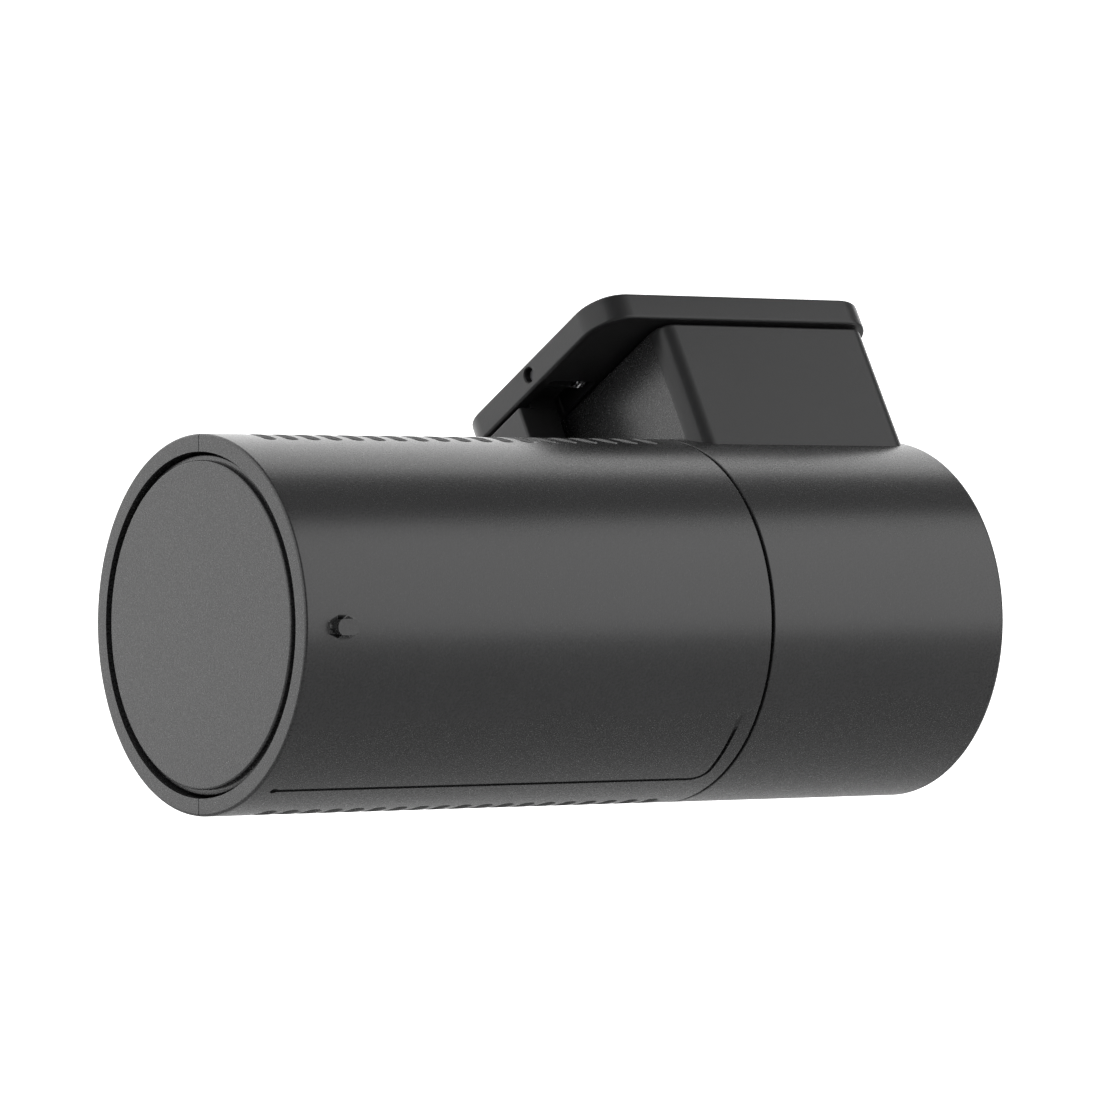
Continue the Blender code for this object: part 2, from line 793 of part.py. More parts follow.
def build_card_bay(tube):
    """The plate behind the end cover, with the card's slot, two buttons and the light's shelf."""
    plate = rod(
        "card_bay_plate",
        (BAY_X, 0, 0),
        BAY_THICKNESS,
        SEATED_RADIUS,
        tube,
        "inner_plastic",
        steps=MID_STEPS,
    )
    shelf = block(
        "light_shelf", (2.6, -6.7, -3), (BAY_X + BAY_THICKNESS / 2, -5.4, 3), tube
    )
    join(plate, shelf)
    card_slot = block(
        "card_slot",
        (BAY_X - 1, CARD_Y - CARD_THICKNESS / 2 - GAP, CARD_Z - CARD_WIDTH / 2 - GAP),
        (BAY_X + BAY_THICKNESS + 1, CARD_Y + CARD_THICKNESS / 2 + GAP, CARD_Z + CARD_WIDTH / 2 + GAP),
        tube,
    )
    cut(plate, card_slot)
    for label, z in (("wifi", WIFI_BUTTON_Z), ("format", FORMAT_BUTTON_Z)):
        hole = rod(
            label + "_button_hole",
            (BAY_X - 1, BUTTON_Y, z),
            BAY_THICKNESS + 2,
            BUTTON_RADIUS + GAP,
            tube,
            steps=MID_STEPS,
        )
        cut(plate, hole)
        build_button(label, z, tube)
    for number, side in ((1, -1), (2, 1)):
        spot = (BAY_X - SCREW_HEAD - GAP, BAY_SCREW_Y, side * BAY_SCREW_Z)
        hole = rod(
            f"bay_screw_hole_{number}",
            (BAY_X - 1, *spot[1:]),
            BAY_THICKNESS + 2,
            SCREW_RADIUS + GAP,
            tube,
            steps=SCREW_STEPS,
        )
        cut(plate, hole)
        screw(f"bay_screw_{number}", spot, 6.0, tube)


def build_button(label, z, tube):
    """A push button with a lip behind the plate, and the switch that it presses."""
    lip_x = BAY_X + BAY_THICKNESS + GAP
    button = turned(
        label + "_button",
        [
            (BAY_X - BUTTON_PROUD, 0),
            (BAY_X - BUTTON_PROUD, BUTTON_RADIUS),
            (lip_x, BUTTON_RADIUS),
            (lip_x, BUTTON_RADIUS + BUTTON_LIP),
            (lip_x + BUTTON_FLANGE, BUTTON_RADIUS + BUTTON_LIP),
            (lip_x + BUTTON_FLANGE, 0),
        ],
        tube,
        "inner_plastic",
        place=(0, BUTTON_Y, z),
        steps=SMALL_STEPS,
    )
    switch_x = lip_x + BUTTON_FLANGE + BUTTON_TRAVEL + GAP
    half = 1.7
    block(
        label + "_switch",
        (switch_x, MAIN_BOARD_Y + BOARD_THICKNESS + GAP, z - half),
        (switch_x + 3.0, BUTTON_Y + half, z + half),
        tube,
        "chip_resin",
    )
    return button


def build_memory(tube):
    socket_x = BAY_X + BAY_THICKNESS + GAP
    card_end = CARD_X + CARD_LENGTH
    half = CARD_THICKNESS / 2 + GAP
    width = CARD_WIDTH / 2 + GAP
    low = MAIN_BOARD_Y + BOARD_THICKNESS + GAP
    socket = block(
        "card_socket",
        (socket_x, low, CARD_Z - width - SOCKET_WALL),
        (card_end + GAP + 1, CARD_Y + half + SOCKET_WALL, CARD_Z + width + SOCKET_WALL),
        tube,
        "steel",
    )
    hollow = block(
        "card_socket_hollow",
        (socket_x - 1, CARD_Y - half, CARD_Z - width),
        (card_end + GAP, CARD_Y + half, CARD_Z + width),
        tube,
    )
    cut(socket, hollow)
    block(
        "memory_card",
        (CARD_X, CARD_Y - CARD_THICKNESS / 2, CARD_Z - CARD_WIDTH / 2),
        (card_end, CARD_Y + CARD_THICKNESS / 2, CARD_Z + CARD_WIDTH / 2),
        tube,
        "chip_resin",
        0.8,
        along=1,
        segments=2,
    )


# ---- barrel inner pieces ----------------------------------------------------------------------

def build_chassis(tube):
    """Two side rails for the main board, a beam at the swivel end and a bridge round the lens."""
    rail_low = MAIN_BOARD_HALF_WIDTH + GAP
    rail_high = rail_low + RAIL_THICKNESS
    middle = MAIN_BOARD_Y + BOARD_THICKNESS / 2
    y_low = middle - RAIL_HEIGHT / 2
    y_high = middle + RAIL_HEIGHT / 2
    right = BARREL_END - HUB_RECESS - HUB_PLATE - 2 * GAP
    frame = block(
        "chassis_frame",
        (right - BEAM_THICKNESS, y_low, -rail_high),
        (right, y_high, rail_high),
        tube,
        "inner_plastic",
    )
    bridge_y = LENS_BARREL_Y
    half = SENSOR_BOARD_HALF
    bridge = block(
        "lens_bridge",
        (LENS_X - half, bridge_y, -rail_high),
        (LENS_X + half, bridge_y + BRIDGE_THICKNESS, rail_high),
        tube,
    )
    join(frame, bridge)
    for side, label in ((-1, "low"), (1, "high")):
        across = sorted((side * rail_low, side * rail_high))
        rail = block(
            f"rail_{label}",
            (MAIN_BOARD_X, y_low, across[0]),
            (right - BEAM_THICKNESS / 2, y_high, across[1]),
            tube,
        )
        leg = block(
            f"bridge_leg_{label}",
            (LENS_X - 5, middle, across[0]),
            (LENS_X + 5, bridge_y + BRIDGE_THICKNESS / 2, across[1]),
            tube,
        )
        boss_radius = SCREW_RADIUS + GAP + 0.9
        boss_z = side * BAY_SCREW_Z
        boss = rod(
            f"bay_boss_{label}", (MAIN_BOARD_X - 0.5, BAY_SCREW_Y, boss_z), 6.0, boss_radius, tube
        )
        strut = block(
            f"boss_strut_{label}",
            (MAIN_BOARD_X, middle, across[0]),
            (MAIN_BOARD_X + 5.0, BAY_SCREW_Y, across[1] - 0.2 * (side > 0)),
            tube,
        )
        bore = rod(
            f"bay_boss_bore_{label}",
            (MAIN_BOARD_X - 1, BAY_SCREW_Y, boss_z),
            5.5,
            SCREW_RADIUS + GAP,
            tube,
            steps=SCREW_STEPS,
        )
        join(frame, rail, leg, boss, strut)
        cut(frame, bore)
    ring = rod(
        "bridge_hole",
        (LENS_X, bridge_y - 1, 0),
        BRIDGE_THICKNESS + 2,
        LENS_BARREL_RADIUS + GAP,
        tube,
        axis=1,
        steps=MID_STEPS,
    )
    cut(frame, ring)


def build_lens(tube):
    """The bezel, the lens barrel, its glass, and the holder over the image sensor."""
    bezel_back = math.sqrt(SEATED_RADIUS**2 - BEZEL_RADIUS**2)
    bezel_front = TUBE_RADIUS + BEZEL_PROUD
    bore = BEZEL_RADIUS - BEZEL_WALL
    place = (LENS_X, 0, 0)
    turned(
        "lens_bezel",
        [
            (bezel_back, bore),
            (bezel_back, BEZEL_RADIUS),
            (bezel_front - 0.8, BEZEL_RADIUS),
            (bezel_front, BEZEL_RADIUS - 0.8),
            (bezel_front - 1.2, bore),
        ],
        tube,
        "inner_plastic",
        axis=1,
        place=place,
        steps=MID_STEPS,
    )
    inner = LENS_BARREL_RADIUS - LENS_BARREL_WALL
    glass_back = bezel_front - 3.2
    turned(
        "lens_barrel",
        [
            (LENS_BARREL_Y, inner),
            (LENS_BARREL_Y, LENS_BARREL_RADIUS),
            (glass_back - GAP, LENS_BARREL_RADIUS),
            (glass_back - GAP, inner),
        ],
        tube,
        "inner_plastic",
        axis=1,
        place=place,
        steps=MID_STEPS,
    )
    lens_disc("front_lens", glass_back, 0.8, 1.4, LENS_BARREL_RADIUS, place, tube)
    lens_disc("middle_lens", LENS_BARREL_Y + 6.5, 1.2, 0.8, inner - GAP, place, tube)
    lens_disc("rear_lens", LENS_BARREL_Y + 2.2, 1.6, 0.8, inner - GAP, place, tube)
    rod(
        "infrared_filter",
        (LENS_X, LENS_BARREL_Y + 0.8, 0),
        0.5,
        inner - GAP,
        tube,
        "glass",
        axis=1,
        steps=24,
    )
    holder_y = SENSOR_BOARD_Y + BOARD_THICKNESS + GAP
    half = SENSOR_BOARD_HALF - 1
    holder = block(
        "lens_holder",
        (LENS_X - half, holder_y, -half),
        (LENS_X + half, LENS_BARREL_Y - GAP, half),
        tube,
        "inner_plastic",
        1.0,
        along=1,
        segments=2,
    )
    hollow = block(
        "lens_holder_hollow", (LENS_X - 5, holder_y - 1, -5), (LENS_X + 5, LENS_BARREL_Y + 1, 5), tube
    )
    cut(holder, hollow)
    block(
        "image_sensor",
        (LENS_X - 4, holder_y, -3.5),
        (LENS_X + 4, holder_y + 1.2, 3.5),
        tube,
        "chip_resin",
    )
    block(
        "sensor_board",
        (LENS_X - SENSOR_BOARD_HALF, SENSOR_BOARD_Y, -SENSOR_BOARD_HALF),
        (LENS_X + SENSOR_BOARD_HALF, SENSOR_BOARD_Y + BOARD_THICKNESS, SENSOR_BOARD_HALF),
        tube,
        "circuit_board",
    )


def lens_disc(name, back, edge, crown, radius, place, tube):
    """A plano-convex glass: a flat back, a straight edge and a crowned front."""
    rings = 4
    profile = [(back, 0), (back, radius)]
    for i in range(rings + 1):
        angle = math.pi / 2 * i / rings
        profile.append((back + edge + crown * math.sin(angle), radius * math.cos(angle)))
    profile[-1] = (profile[-1][0], 0)
    turned(name, profile, tube, "glass", axis=1, place=place, steps=24)


def build_boards(tube):
    """The main board across the barrel, and what stands on it."""
    board_right = BARREL_END - HUB_RECESS - HUB_PLATE - 3 * GAP - BEAM_THICKNESS
    block(
        "main_board",
        (MAIN_BOARD_X, MAIN_BOARD_Y, -MAIN_BOARD_HALF_WIDTH),
        (board_right, MAIN_BOARD_Y + BOARD_THICKNESS, MAIN_BOARD_HALF_WIDTH),
        tube,
        "circuit_board",
    )
    front = MAIN_BOARD_Y + BOARD_THICKNESS + GAP
    rear = MAIN_BOARD_Y - GAP
    chip_y = rear - 1.6
    pad_y = chip_y - GAP - 0.7
    spreader_y = pad_y - GAP - 1.4
    block(
        "board_connector",
        (CARD_X + CARD_LENGTH + 3, front, -2.5),
        (LENS_X + 7, SENSOR_BOARD_Y - GAP, 2.5),
        tube,
        "chip_resin",
    )
    block("processor", (19, chip_y, -6), (31, rear, 6), tube, "chip_resin")
    block("thermal_pad", (20, pad_y, -5), (30, chip_y - GAP, 5), tube, "thermal_gel")
    block(
        "heat_spreader",
        (11, spreader_y, -11.5),
        (33, pad_y - GAP, 11.5),
        tube,
        "aluminium",
        1.5,
        along=1,
        segments=2,
    )
    for number, side in ((1, -1), (2, 1)):
        rod(
            f"backup_capacitor_{number}",
            (34.5, rear - 3.7, side * 4.6),
            12.0,
            3.6,
            tube,
            "cable_jacket",
            steps=SMALL_STEPS,
        )
    block(
        "gps_antenna",
        (LENS_X + SENSOR_BOARD_HALF + 1.2, 1.0, -6),
        (LENS_X + SENSOR_BOARD_HALF + 13.0, 5.0, 6),
        tube,
        "ceramic",
    )
    rod("speaker", (41.5, front, -6.8), 2.8, 6.0, tube, "chip_resin", axis=1, steps=24)
    block("microphone", (11, rear - 1.1, 2), (14, rear, 4), tube, "steel")
    block(
        "front_led",
        (FRONT_LIGHT_X - 0.8, front, FRONT_LIGHT_Z - 0.8),
        (FRONT_LIGHT_X + 0.8, front + 0.8, FRONT_LIGHT_Z + 0.8),
        tube,
        "light",
    )
    rod(
        "front_light_pipe",
        (FRONT_LIGHT_X, front + 0.8 + GAP, FRONT_LIGHT_Z),
        TUBE_RADIUS - 0.1 - front - 0.8 - GAP,
        FRONT_LIGHT_RADIUS,
        tube,
        "clear_plastic",
        axis=1,
        steps=SCREW_STEPS,
    )


def build_status_light(tube):
    """A small board on the bay's shelf, its light, and the pipe to the window in the wall."""
    block("light_board", (2.6, -8.0, -2.6), (5.6, -7.0, 2.6), tube, "circuit_board")
    block("status_led", (LIGHT_X - 0.8, -9.1, -0.5), (LIGHT_X + 0.8, -8.3, 0.5), tube, "light")
    half_length = LIGHT_LENGTH / 2
    half_height = LIGHT_HEIGHT / 2
    block(
        "status_light_pipe",
        (LIGHT_X - half_length, -TUBE_RADIUS + 0.1, -half_height),
        (LIGHT_X + half_length, -9.1 - GAP, half_height),
        tube,
        "clear_plastic",
        half_height - 0.02,
        along=1,
        segments=3,
    )


def build_swivel(tube):
    """The hub closes the barrel, and its stub turns in the mount section's web."""
    plate_end = BARREL_END - HUB_RECESS
    plate_start = plate_end - HUB_PLATE
    ring_end = MOUNT_START + 2 * GAP + WEB_THICKNESS + GAP + FRICTION_RING
    stub_end = ring_end + 2 * GAP + 1.2
    hub = turned(
        "swivel_hub",
        [
            (plate_start, CABLE_BORE),
            (plate_start, SEATED_RADIUS),
            (plate_end, SEATED_RADIUS),
            (plate_end, STUB_RADIUS),
            (stub_end, STUB_RADIUS),
            (stub_end, CABLE_BORE),
        ],
        tube,
        "inner_plastic",
    )
    cap_start = stub_end + GAP
    cap_end = cap_start + RETAINER_THICKNESS
    retainer = turned(
        "swivel_retainer",
        [
            (cap_start, CABLE_BORE),
            (cap_start, STUB_RADIUS + GAP),
            (ring_end + GAP, STUB_RADIUS + GAP),
            (ring_end + GAP, RETAINER_RADIUS),
            (cap_end, RETAINER_RADIUS),
            (cap_end, CABLE_BORE),
        ],
        tube,
        "inner_plastic",
        steps=MID_STEPS,
    )
    circle = (CABLE_BORE + STUB_RADIUS) / 2
    head_face = cap_end + GAP + SCREW_HEAD
    for i in range(HUB_SCREW_COUNT):
        angle = 2 * math.pi * i / HUB_SCREW_COUNT
        y = circle * math.sin(angle)
        z = circle * math.cos(angle)
        bore = rod(
            f"hub_screw_bore_{i + 1}",
            (plate_end, y, z),
            cap_end - plate_end + 2,
            SCREW_RADIUS + GAP,
            tube,
            steps=SCREW_STEPS,
        )
        cut(hub, bore)
        cut(retainer, bore)
        screw(f"hub_screw_{i + 1}", (head_face, y, z), plate_end + GAP - head_face, tube)


def build_barrel(tube):
    build_shells(tube)
    build_card_bay(tube)
    build_memory(tube)
    build_chassis(tube)
    build_lens(tube)
    build_boards(tube)
    build_status_light(tube)
    build_swivel(tube)


def main():
    pad_middle = Vector(
        (
            PLATE_LEFT + PLATE_LENGTH / 2,
            (PLATE_NEAR_Y + PLATE_WIDTH / 2) * math.cos(RAKE) + PAD_TOP * math.sin(RAKE),
            -(PLATE_NEAR_Y + PLATE_WIDTH / 2) * math.sin(RAKE) + PAD_TOP * math.cos(RAKE),
        )
    )
    tube = new_frame("tube_frame", None, -pad_middle)
    plate_frame = new_frame("plate_frame", tube, tilt=-RAKE)
    lever_pivot = new_frame("lever_pivot", plate_frame, (0, PIN_Y, PIN_Z))
    barrel_pivot = new_frame("barrel_pivot", tube)
    build_bracket(plate_frame)
    build_lock(plate_frame, lever_pivot)
    build_mount_section(tube, plate_frame)
    build_barrel(barrel_pivot)
    build_end_cover(barrel_pivot)


clear_scene()
PARTS = new_collection("dash_camera", False)
HELPERS = new_collection("cutters", True)
main()
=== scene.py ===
"""Looks of a cylindrical dash camera that hangs from a windscreen bracket.

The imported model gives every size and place. Each visible piece is modelled again here with
finer edges, in millimetres, in one of two frames: the tube's, with X along the tube from its
left end and Z up, or the bracket plate's, which is the tube's turned by the windscreen's rake.
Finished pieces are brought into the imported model's own frame, in metres.
"""

import json
import logging
import math
from dataclasses import dataclass, field
from enum import Enum
from typing import Callable, Sequence

import bpy
from mathutils import Euler, Matrix, Vector


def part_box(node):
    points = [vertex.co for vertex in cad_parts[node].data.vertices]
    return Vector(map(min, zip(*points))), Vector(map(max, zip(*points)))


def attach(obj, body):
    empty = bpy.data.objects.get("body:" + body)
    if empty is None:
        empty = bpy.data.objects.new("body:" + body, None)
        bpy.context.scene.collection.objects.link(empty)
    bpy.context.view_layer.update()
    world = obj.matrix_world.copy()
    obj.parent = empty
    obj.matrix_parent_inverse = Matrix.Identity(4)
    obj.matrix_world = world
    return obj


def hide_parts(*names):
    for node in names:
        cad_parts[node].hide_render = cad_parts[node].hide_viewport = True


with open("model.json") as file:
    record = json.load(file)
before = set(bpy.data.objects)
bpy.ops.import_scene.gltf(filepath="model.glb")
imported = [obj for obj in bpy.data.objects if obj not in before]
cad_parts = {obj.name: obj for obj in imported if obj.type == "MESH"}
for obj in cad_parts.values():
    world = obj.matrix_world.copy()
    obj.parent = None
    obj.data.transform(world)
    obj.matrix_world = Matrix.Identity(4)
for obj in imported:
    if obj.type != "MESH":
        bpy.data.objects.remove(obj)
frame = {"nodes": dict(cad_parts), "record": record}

LOG = logging.getLogger("dash_camera")
MM = 0.001
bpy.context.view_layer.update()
Ring = tuple[float, float]


class Axis(Enum):
    """The direction that a turned piece or a rod runs along, as a turn from +Z."""

    X = (0.0, math.pi / 2, 0.0)
    Y = (-math.pi / 2, 0.0, 0.0)
    Z = (0.0, 0.0, 0.0)

    @property
    def way(self) -> Vector:
        """The unit vector of the direction."""
        return Euler(self.value).to_matrix() @ Vector((0, 0, 1))


class Body(Enum):
    """The bodies that pieces move with."""

    BRACKET = "bracket"
    LEVER = "lock_lever"
    MOUNT = "camera_mount"
    BARREL = "barrel"
    COVER = "end_cover"
    CARD = "memory_card"
    WIFI = "wifi_button"
    FORMAT = "format_button"


# ---- the frame that pieces are placed in ------------------------------------------------------


@dataclass(frozen=True)
class Layout:
    """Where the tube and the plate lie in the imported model, read from the model itself."""

    origin: Vector
    rake: float
    radius: float
    barrel_end: float
    mount_start: float
    length: float

    @classmethod
    def from_model(cls) -> "Layout":
        """Reads the tube's axis, radius and ends, and the plate's rake.

        Returns:
            The layout, with lengths in millimetres and its origin in metres.
        """
        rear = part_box("rear_shell")
        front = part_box("front_shell")
        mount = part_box("mount_housing")
        radius = (front[1].y - rear[0].y) / 2
        origin = Vector((rear[0].x, rear[0].y + radius, (rear[0].z + rear[1].z) / 2))
        normal = frame["record"]["mounts"][0]["axis"]
        return cls(
            origin=origin,
            rake=math.atan2(normal[1], normal[2]),
            radius=radius / MM,
            barrel_end=(rear[1].x - rear[0].x) / MM,
            mount_start=(mount[0].x - rear[0].x) / MM,
            length=(mount[1].x - rear[0].x) / MM,
        )

    @property
    def tube(self) -> Matrix:
        """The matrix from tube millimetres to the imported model's metres."""
        return Matrix.Translation(self.origin) @ Matrix.Scale(MM, 4)

    @property
    def plate(self) -> Matrix:
        """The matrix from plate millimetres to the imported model's metres."""
        return self.tube @ Matrix.Rotation(-self.rake, 4, "X")

    def span(self, node: str, base: Matrix) -> tuple[Vector, Vector]:
        """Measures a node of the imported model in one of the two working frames.

        Args:
            node: The node's name.
            base: The working frame, tube or plate.

        Returns:
            The node's lowest and highest corners there, in millimetres.
        """
        back = base.inverted()
        points = [back @ v.co for v in frame["nodes"][node].data.vertices]
        low = Vector([min(p[i] for p in points) for i in range(3)])
        high = Vector([max(p[i] for p in points) for i in range(3)])
        return low, high


# ---- modelling moves --------------------------------------------------------------------------


def deselect() -> None:
    """Leaves nothing selected, in object mode."""
    if bpy.context.mode != "OBJECT":
        bpy.ops.object.mode_set(mode="OBJECT")
    bpy.ops.object.select_all(action="DESELECT")


def take(obj: bpy.types.Object) -> None:
    """Selects one object alone and makes it the active one."""
    deselect()
    obj.select_set(True)
    bpy.context.view_layer.objects.active = obj


def named(name: str) -> bpy.types.Object:
    """Names the new primitive, bakes its place into its mesh and returns it."""
    obj = bpy.context.active_object
    obj.name = name
    obj.data.name = name
    bpy.ops.object.transform_apply(location=True, rotation=True, scale=True)
    return obj


def box(name: str, low: Sequence[float], high: Sequence[float]) -> bpy.types.Object:
    """Adds a box between two corners.

    Args:
        name: The new object's name.
        low: The lowest corner.
        high: The highest corner.

    Returns:
        The box, with its place in its mesh.
    """
    deselect()
    bpy.ops.mesh.primitive_cube_add(size=1, location=[(a + b) / 2 for a, b in zip(low, high)])
    bpy.context.active_object.scale = [b - a for a, b in zip(low, high)]
    return named(name)


def rod(
    name: str, start: Sequence[float], length: float, radius: float, axis: Axis, steps: int = 48
) -> bpy.types.Object:
    """Adds a cylinder that starts at a point and runs along an axis.

    Args:
        name: The new object's name.
        start: The middle of its first end.
        length: How far it runs.
        radius: Its radius.
        axis: The direction it runs in.
        steps: How many sides it has.

    Returns:
        The cylinder, with its place in its mesh.
    """
    deselect()
    bpy.ops.mesh.primitive_cylinder_add(vertices=steps, radius=radius, depth=length)
    obj = bpy.context.active_object
    obj.rotation_euler = axis.value
    obj.location = Vector(start) + axis.way * (length / 2)
    return named(name)


def lathe(
    name: str,
    rings: Sequence[Ring],
    axis: Axis,
    place: Sequence[float] = (0, 0, 0),
    steps: int = 96,
    closed: bool = False,
) -> bpy.types.Object:
    """Draws a round piece out of one circle, ring by ring.

    Args:
        name: The new object's name.
        rings: (along, radius) of each ring, from one end to the other.
        axis: The axis that it is round about.
        place: A point on that axis, from which along is counted.
        steps: How many sides each ring has.
        closed: Whether the last ring joins the first, as in a tube. If not, both ends are filled.

    Returns:
        The closed mesh, with its faces pointing out.
    """
    deselect()
    along, radius = rings[0]
    bpy.ops.mesh.primitive_circle_add(vertices=steps, radius=radius, fill_type="NOTHING")
    bpy.ops.object.mode_set(mode="EDIT")
    bpy.ops.mesh.select_all(action="SELECT")
    bpy.ops.transform.translate(value=(0, 0, along))
    if not closed:
        bpy.ops.mesh.edge_face_add()
        bpy.ops.mesh.select_all(action="SELECT")
    for next_along, next_radius in list(rings[1:]) + ([rings[0]] if closed else []):
        if closed:
            bpy.ops.mesh.extrude_edges_move()
        else:
            bpy.ops.mesh.extrude_region_move()
        bpy.ops.transform.translate(value=(0, 0, next_along - along))
        factor = next_radius / radius
        bpy.ops.transform.resize(value=(factor, factor, 1), center_override=(0, 0, next_along))
        along, radius = next_along, next_radius
    bpy.ops.mesh.select_all(action="SELECT")
    bpy.ops.mesh.remove_doubles(threshold=1e-4)
    bpy.ops.mesh.normals_make_consistent(inside=False)
    bpy.ops.object.mode_set(mode="OBJECT")
    obj = bpy.context.active_object
    obj.rotation_euler = axis.value
    obj.location = place
    return named(name)


def apply_modifier(obj: bpy.types.Object, modifier: bpy.types.Modifier) -> None:
    """Applies one modifier to its object."""
    take(obj)
    bpy.ops.object.modifier_apply(modifier=modifier.name)


def combine(obj: bpy.types.Object, other: bpy.types.Object, operation: str) -> None:
    """Joins or cuts an object with another, and removes the other.

    Args:
        obj: The piece that is changed.
        other: What is joined to it or cut out of it.
        operation: UNION or DIFFERENCE.
    """
    modifier = obj.modifiers.new("combine", "BOOLEAN")
    modifier.operation = operation
    modifier.solver = "EXACT"
    modifier.object = other
    apply_modifier(obj, modifier)
    bpy.data.objects.remove(other)


def cut(obj: bpy.types.Object, *cutters: bpy.types.Object) -> None:
    """Cuts each cutter out of an object."""
    for cutter in cutters:
        combine(obj, cutter, "DIFFERENCE")


def join(obj: bpy.types.Object, *others: bpy.types.Object) -> None:
    """Joins other solids to an object, as one body."""
    for other in others:
        combine(obj, other, "UNION")


def pick(obj: bpy.types.Object, mode: str, test: Callable[..., bool]) -> None:
    """Enters edit mode with only the edges or faces that a test picks out selected.

    Args:
        obj: The piece.
        mode: EDGE or FACE.
        test: For EDGE it gets both ends, and for FACE the centre and the normal.
    """
    take(obj)
    mesh = obj.data
    bpy.context.tool_settings.mesh_select_mode = (False, mode == "EDGE", mode == "FACE")
    for item in (*mesh.vertices, *mesh.edges, *mesh.polygons):
        item.select = False
    if mode == "FACE":
        for polygon in mesh.polygons:
            polygon.select = test(polygon.center, polygon.normal)
    else:
        spots = [v.co for v in mesh.vertices]
        for edge in mesh.edges:
            edge.select = test(spots[edge.vertices[0]], spots[edge.vertices[1]])
    bpy.ops.object.mode_set(mode="EDIT")


def leave(obj: bpy.types.Object) -> bpy.types.Object:
    """Goes back to object mode and returns the piece."""
    bpy.ops.object.mode_set(mode="OBJECT")
    return obj


def bevel_chosen(
    obj: bpy.types.Object, chosen: Callable[[Vector, Vector], bool], width: float, segments: int
) -> None:
    """Rounds the edges that a test picks out.

    Args:
        obj: The piece that is changed.
        chosen: A test of an edge's two ends.
        width: How far the rounding reaches from the edge.
        segments: How many faces the rounding has.
    """
    pick(obj, "EDGE", chosen)
    bpy.ops.mesh.bevel(offset=width, segments=segments, affect="EDGES", clamp_overlap=True)
    leave(obj)


def lies_at(index: int, value: float) -> Callable[[Vector, Vector], bool]:
    """Makes a test for edges whose two ends lie at one value of an axis.

    Args:
        index: The axis: 0, 1 or 2.
        value: The value there.

    Returns:
        The test, for bevel_chosen.
    """

    def test(a: Vector, b: Vector) -> bool:
        """Whether both ends lie at the value."""
        return abs(a[index] - value) < 1e-3 and abs(b[index] - value) < 1e-3

    return test


def faces_at(index: int, value: float) -> Callable[[Vector, Vector], bool]:
    """Makes a test for faces that lie square to an axis at one value of it."""

    def test(centre: Vector, normal: Vector) -> bool:
        """Whether the face is square to the axis and at the value."""
        return abs(centre[index] - value) < 1e-3 and abs(normal[index]) > 0.99

    return test


def runs_along(index: int) -> Callable[[Vector, Vector], bool]:
    """Makes a test for edges that run along one axis.

    Args:
        index: The axis: 0, 1 or 2.

    Returns:
        The test, for bevel_chosen.
    """

    def test(a: Vector, b: Vector) -> bool:
        """Whether the edge from a to b runs along the axis."""
        run = b - a
        return abs(run[index]) > 0.999 * run.length

    return test


def soften(obj: bpy.types.Object, width: float, segments: int = 3, angle: float = 32.0) -> None:
    """Rounds every edge that is sharper than an angle.

    Args:
        obj: The piece that is changed.
        width: How far the rounding reaches.
        segments: How many faces the rounding has.
        angle: The least angle between faces that is rounded, in degrees.
    """
    modifier = obj.modifiers.new("edges", "BEVEL")
    modifier.width = width
    modifier.segments = segments
    modifier.limit_method = "ANGLE"
    modifier.angle_limit = math.radians(angle)
    modifier.use_clamp_overlap = True
    modifier.miter_outer = "MITER_ARC"
    apply_modifier(obj, modifier)


def smooth(obj: bpy.types.Object, sharp: float = 60.0) -> None:
    """Shades a piece smooth, with flat faces kept flat beside their rounded edges.

    Args:
        obj: The piece that is changed.
        sharp: The angle past which an edge stays crisp, in degrees.
    """
    take(obj)
    bpy.ops.object.shade_smooth_by_angle(angle=math.radians(sharp))
    modifier = obj.modifiers.new("normals", "WEIGHTED_NORMAL")
    modifier.keep_sharp = True
    apply_modifier(obj, modifier)


def seat(
    obj: bpy.types.Object,
    base: Matrix,
    body: Body,
    slot: str,
    material: bpy.types.Material,
    *nodes: str,
) -> bpy.types.Object:
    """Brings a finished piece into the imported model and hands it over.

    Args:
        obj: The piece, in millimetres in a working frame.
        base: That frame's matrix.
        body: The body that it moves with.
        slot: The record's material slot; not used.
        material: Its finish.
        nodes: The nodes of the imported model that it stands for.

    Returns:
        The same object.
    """
    obj.data.transform(base)
    obj.data.update()
    obj.data.materials.clear()
    obj.data.materials.append(material)
    for polygon in obj.data.polygons:
        polygon.material_index = 0
    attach(obj, body.value)
    if nodes:
        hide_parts(*nodes)
    LOG.info("made %s with %d faces", obj.name, len(obj.data.polygons))
    return obj


def repaint(
    obj: bpy.types.Object,
    base: Matrix,
    material: bpy.types.Material,
    chosen: Callable[[Vector], bool],
) -> None:
    """Gives some faces of a finished piece another finish.

    Args:
        obj: The piece, after it was handed over.
        base: The matrix of its working frame.
        material: The other finish.
        chosen: Whether a face gets it, from its middle in the working frame.
    """
    obj.data.materials.append(material)
    back = base.inverted()
    for polygon in obj.data.polygons:
        if chosen(back @ polygon.center):
            polygon.material_index = 1


# ---- finishes ---------------------------------------------------------------------------------


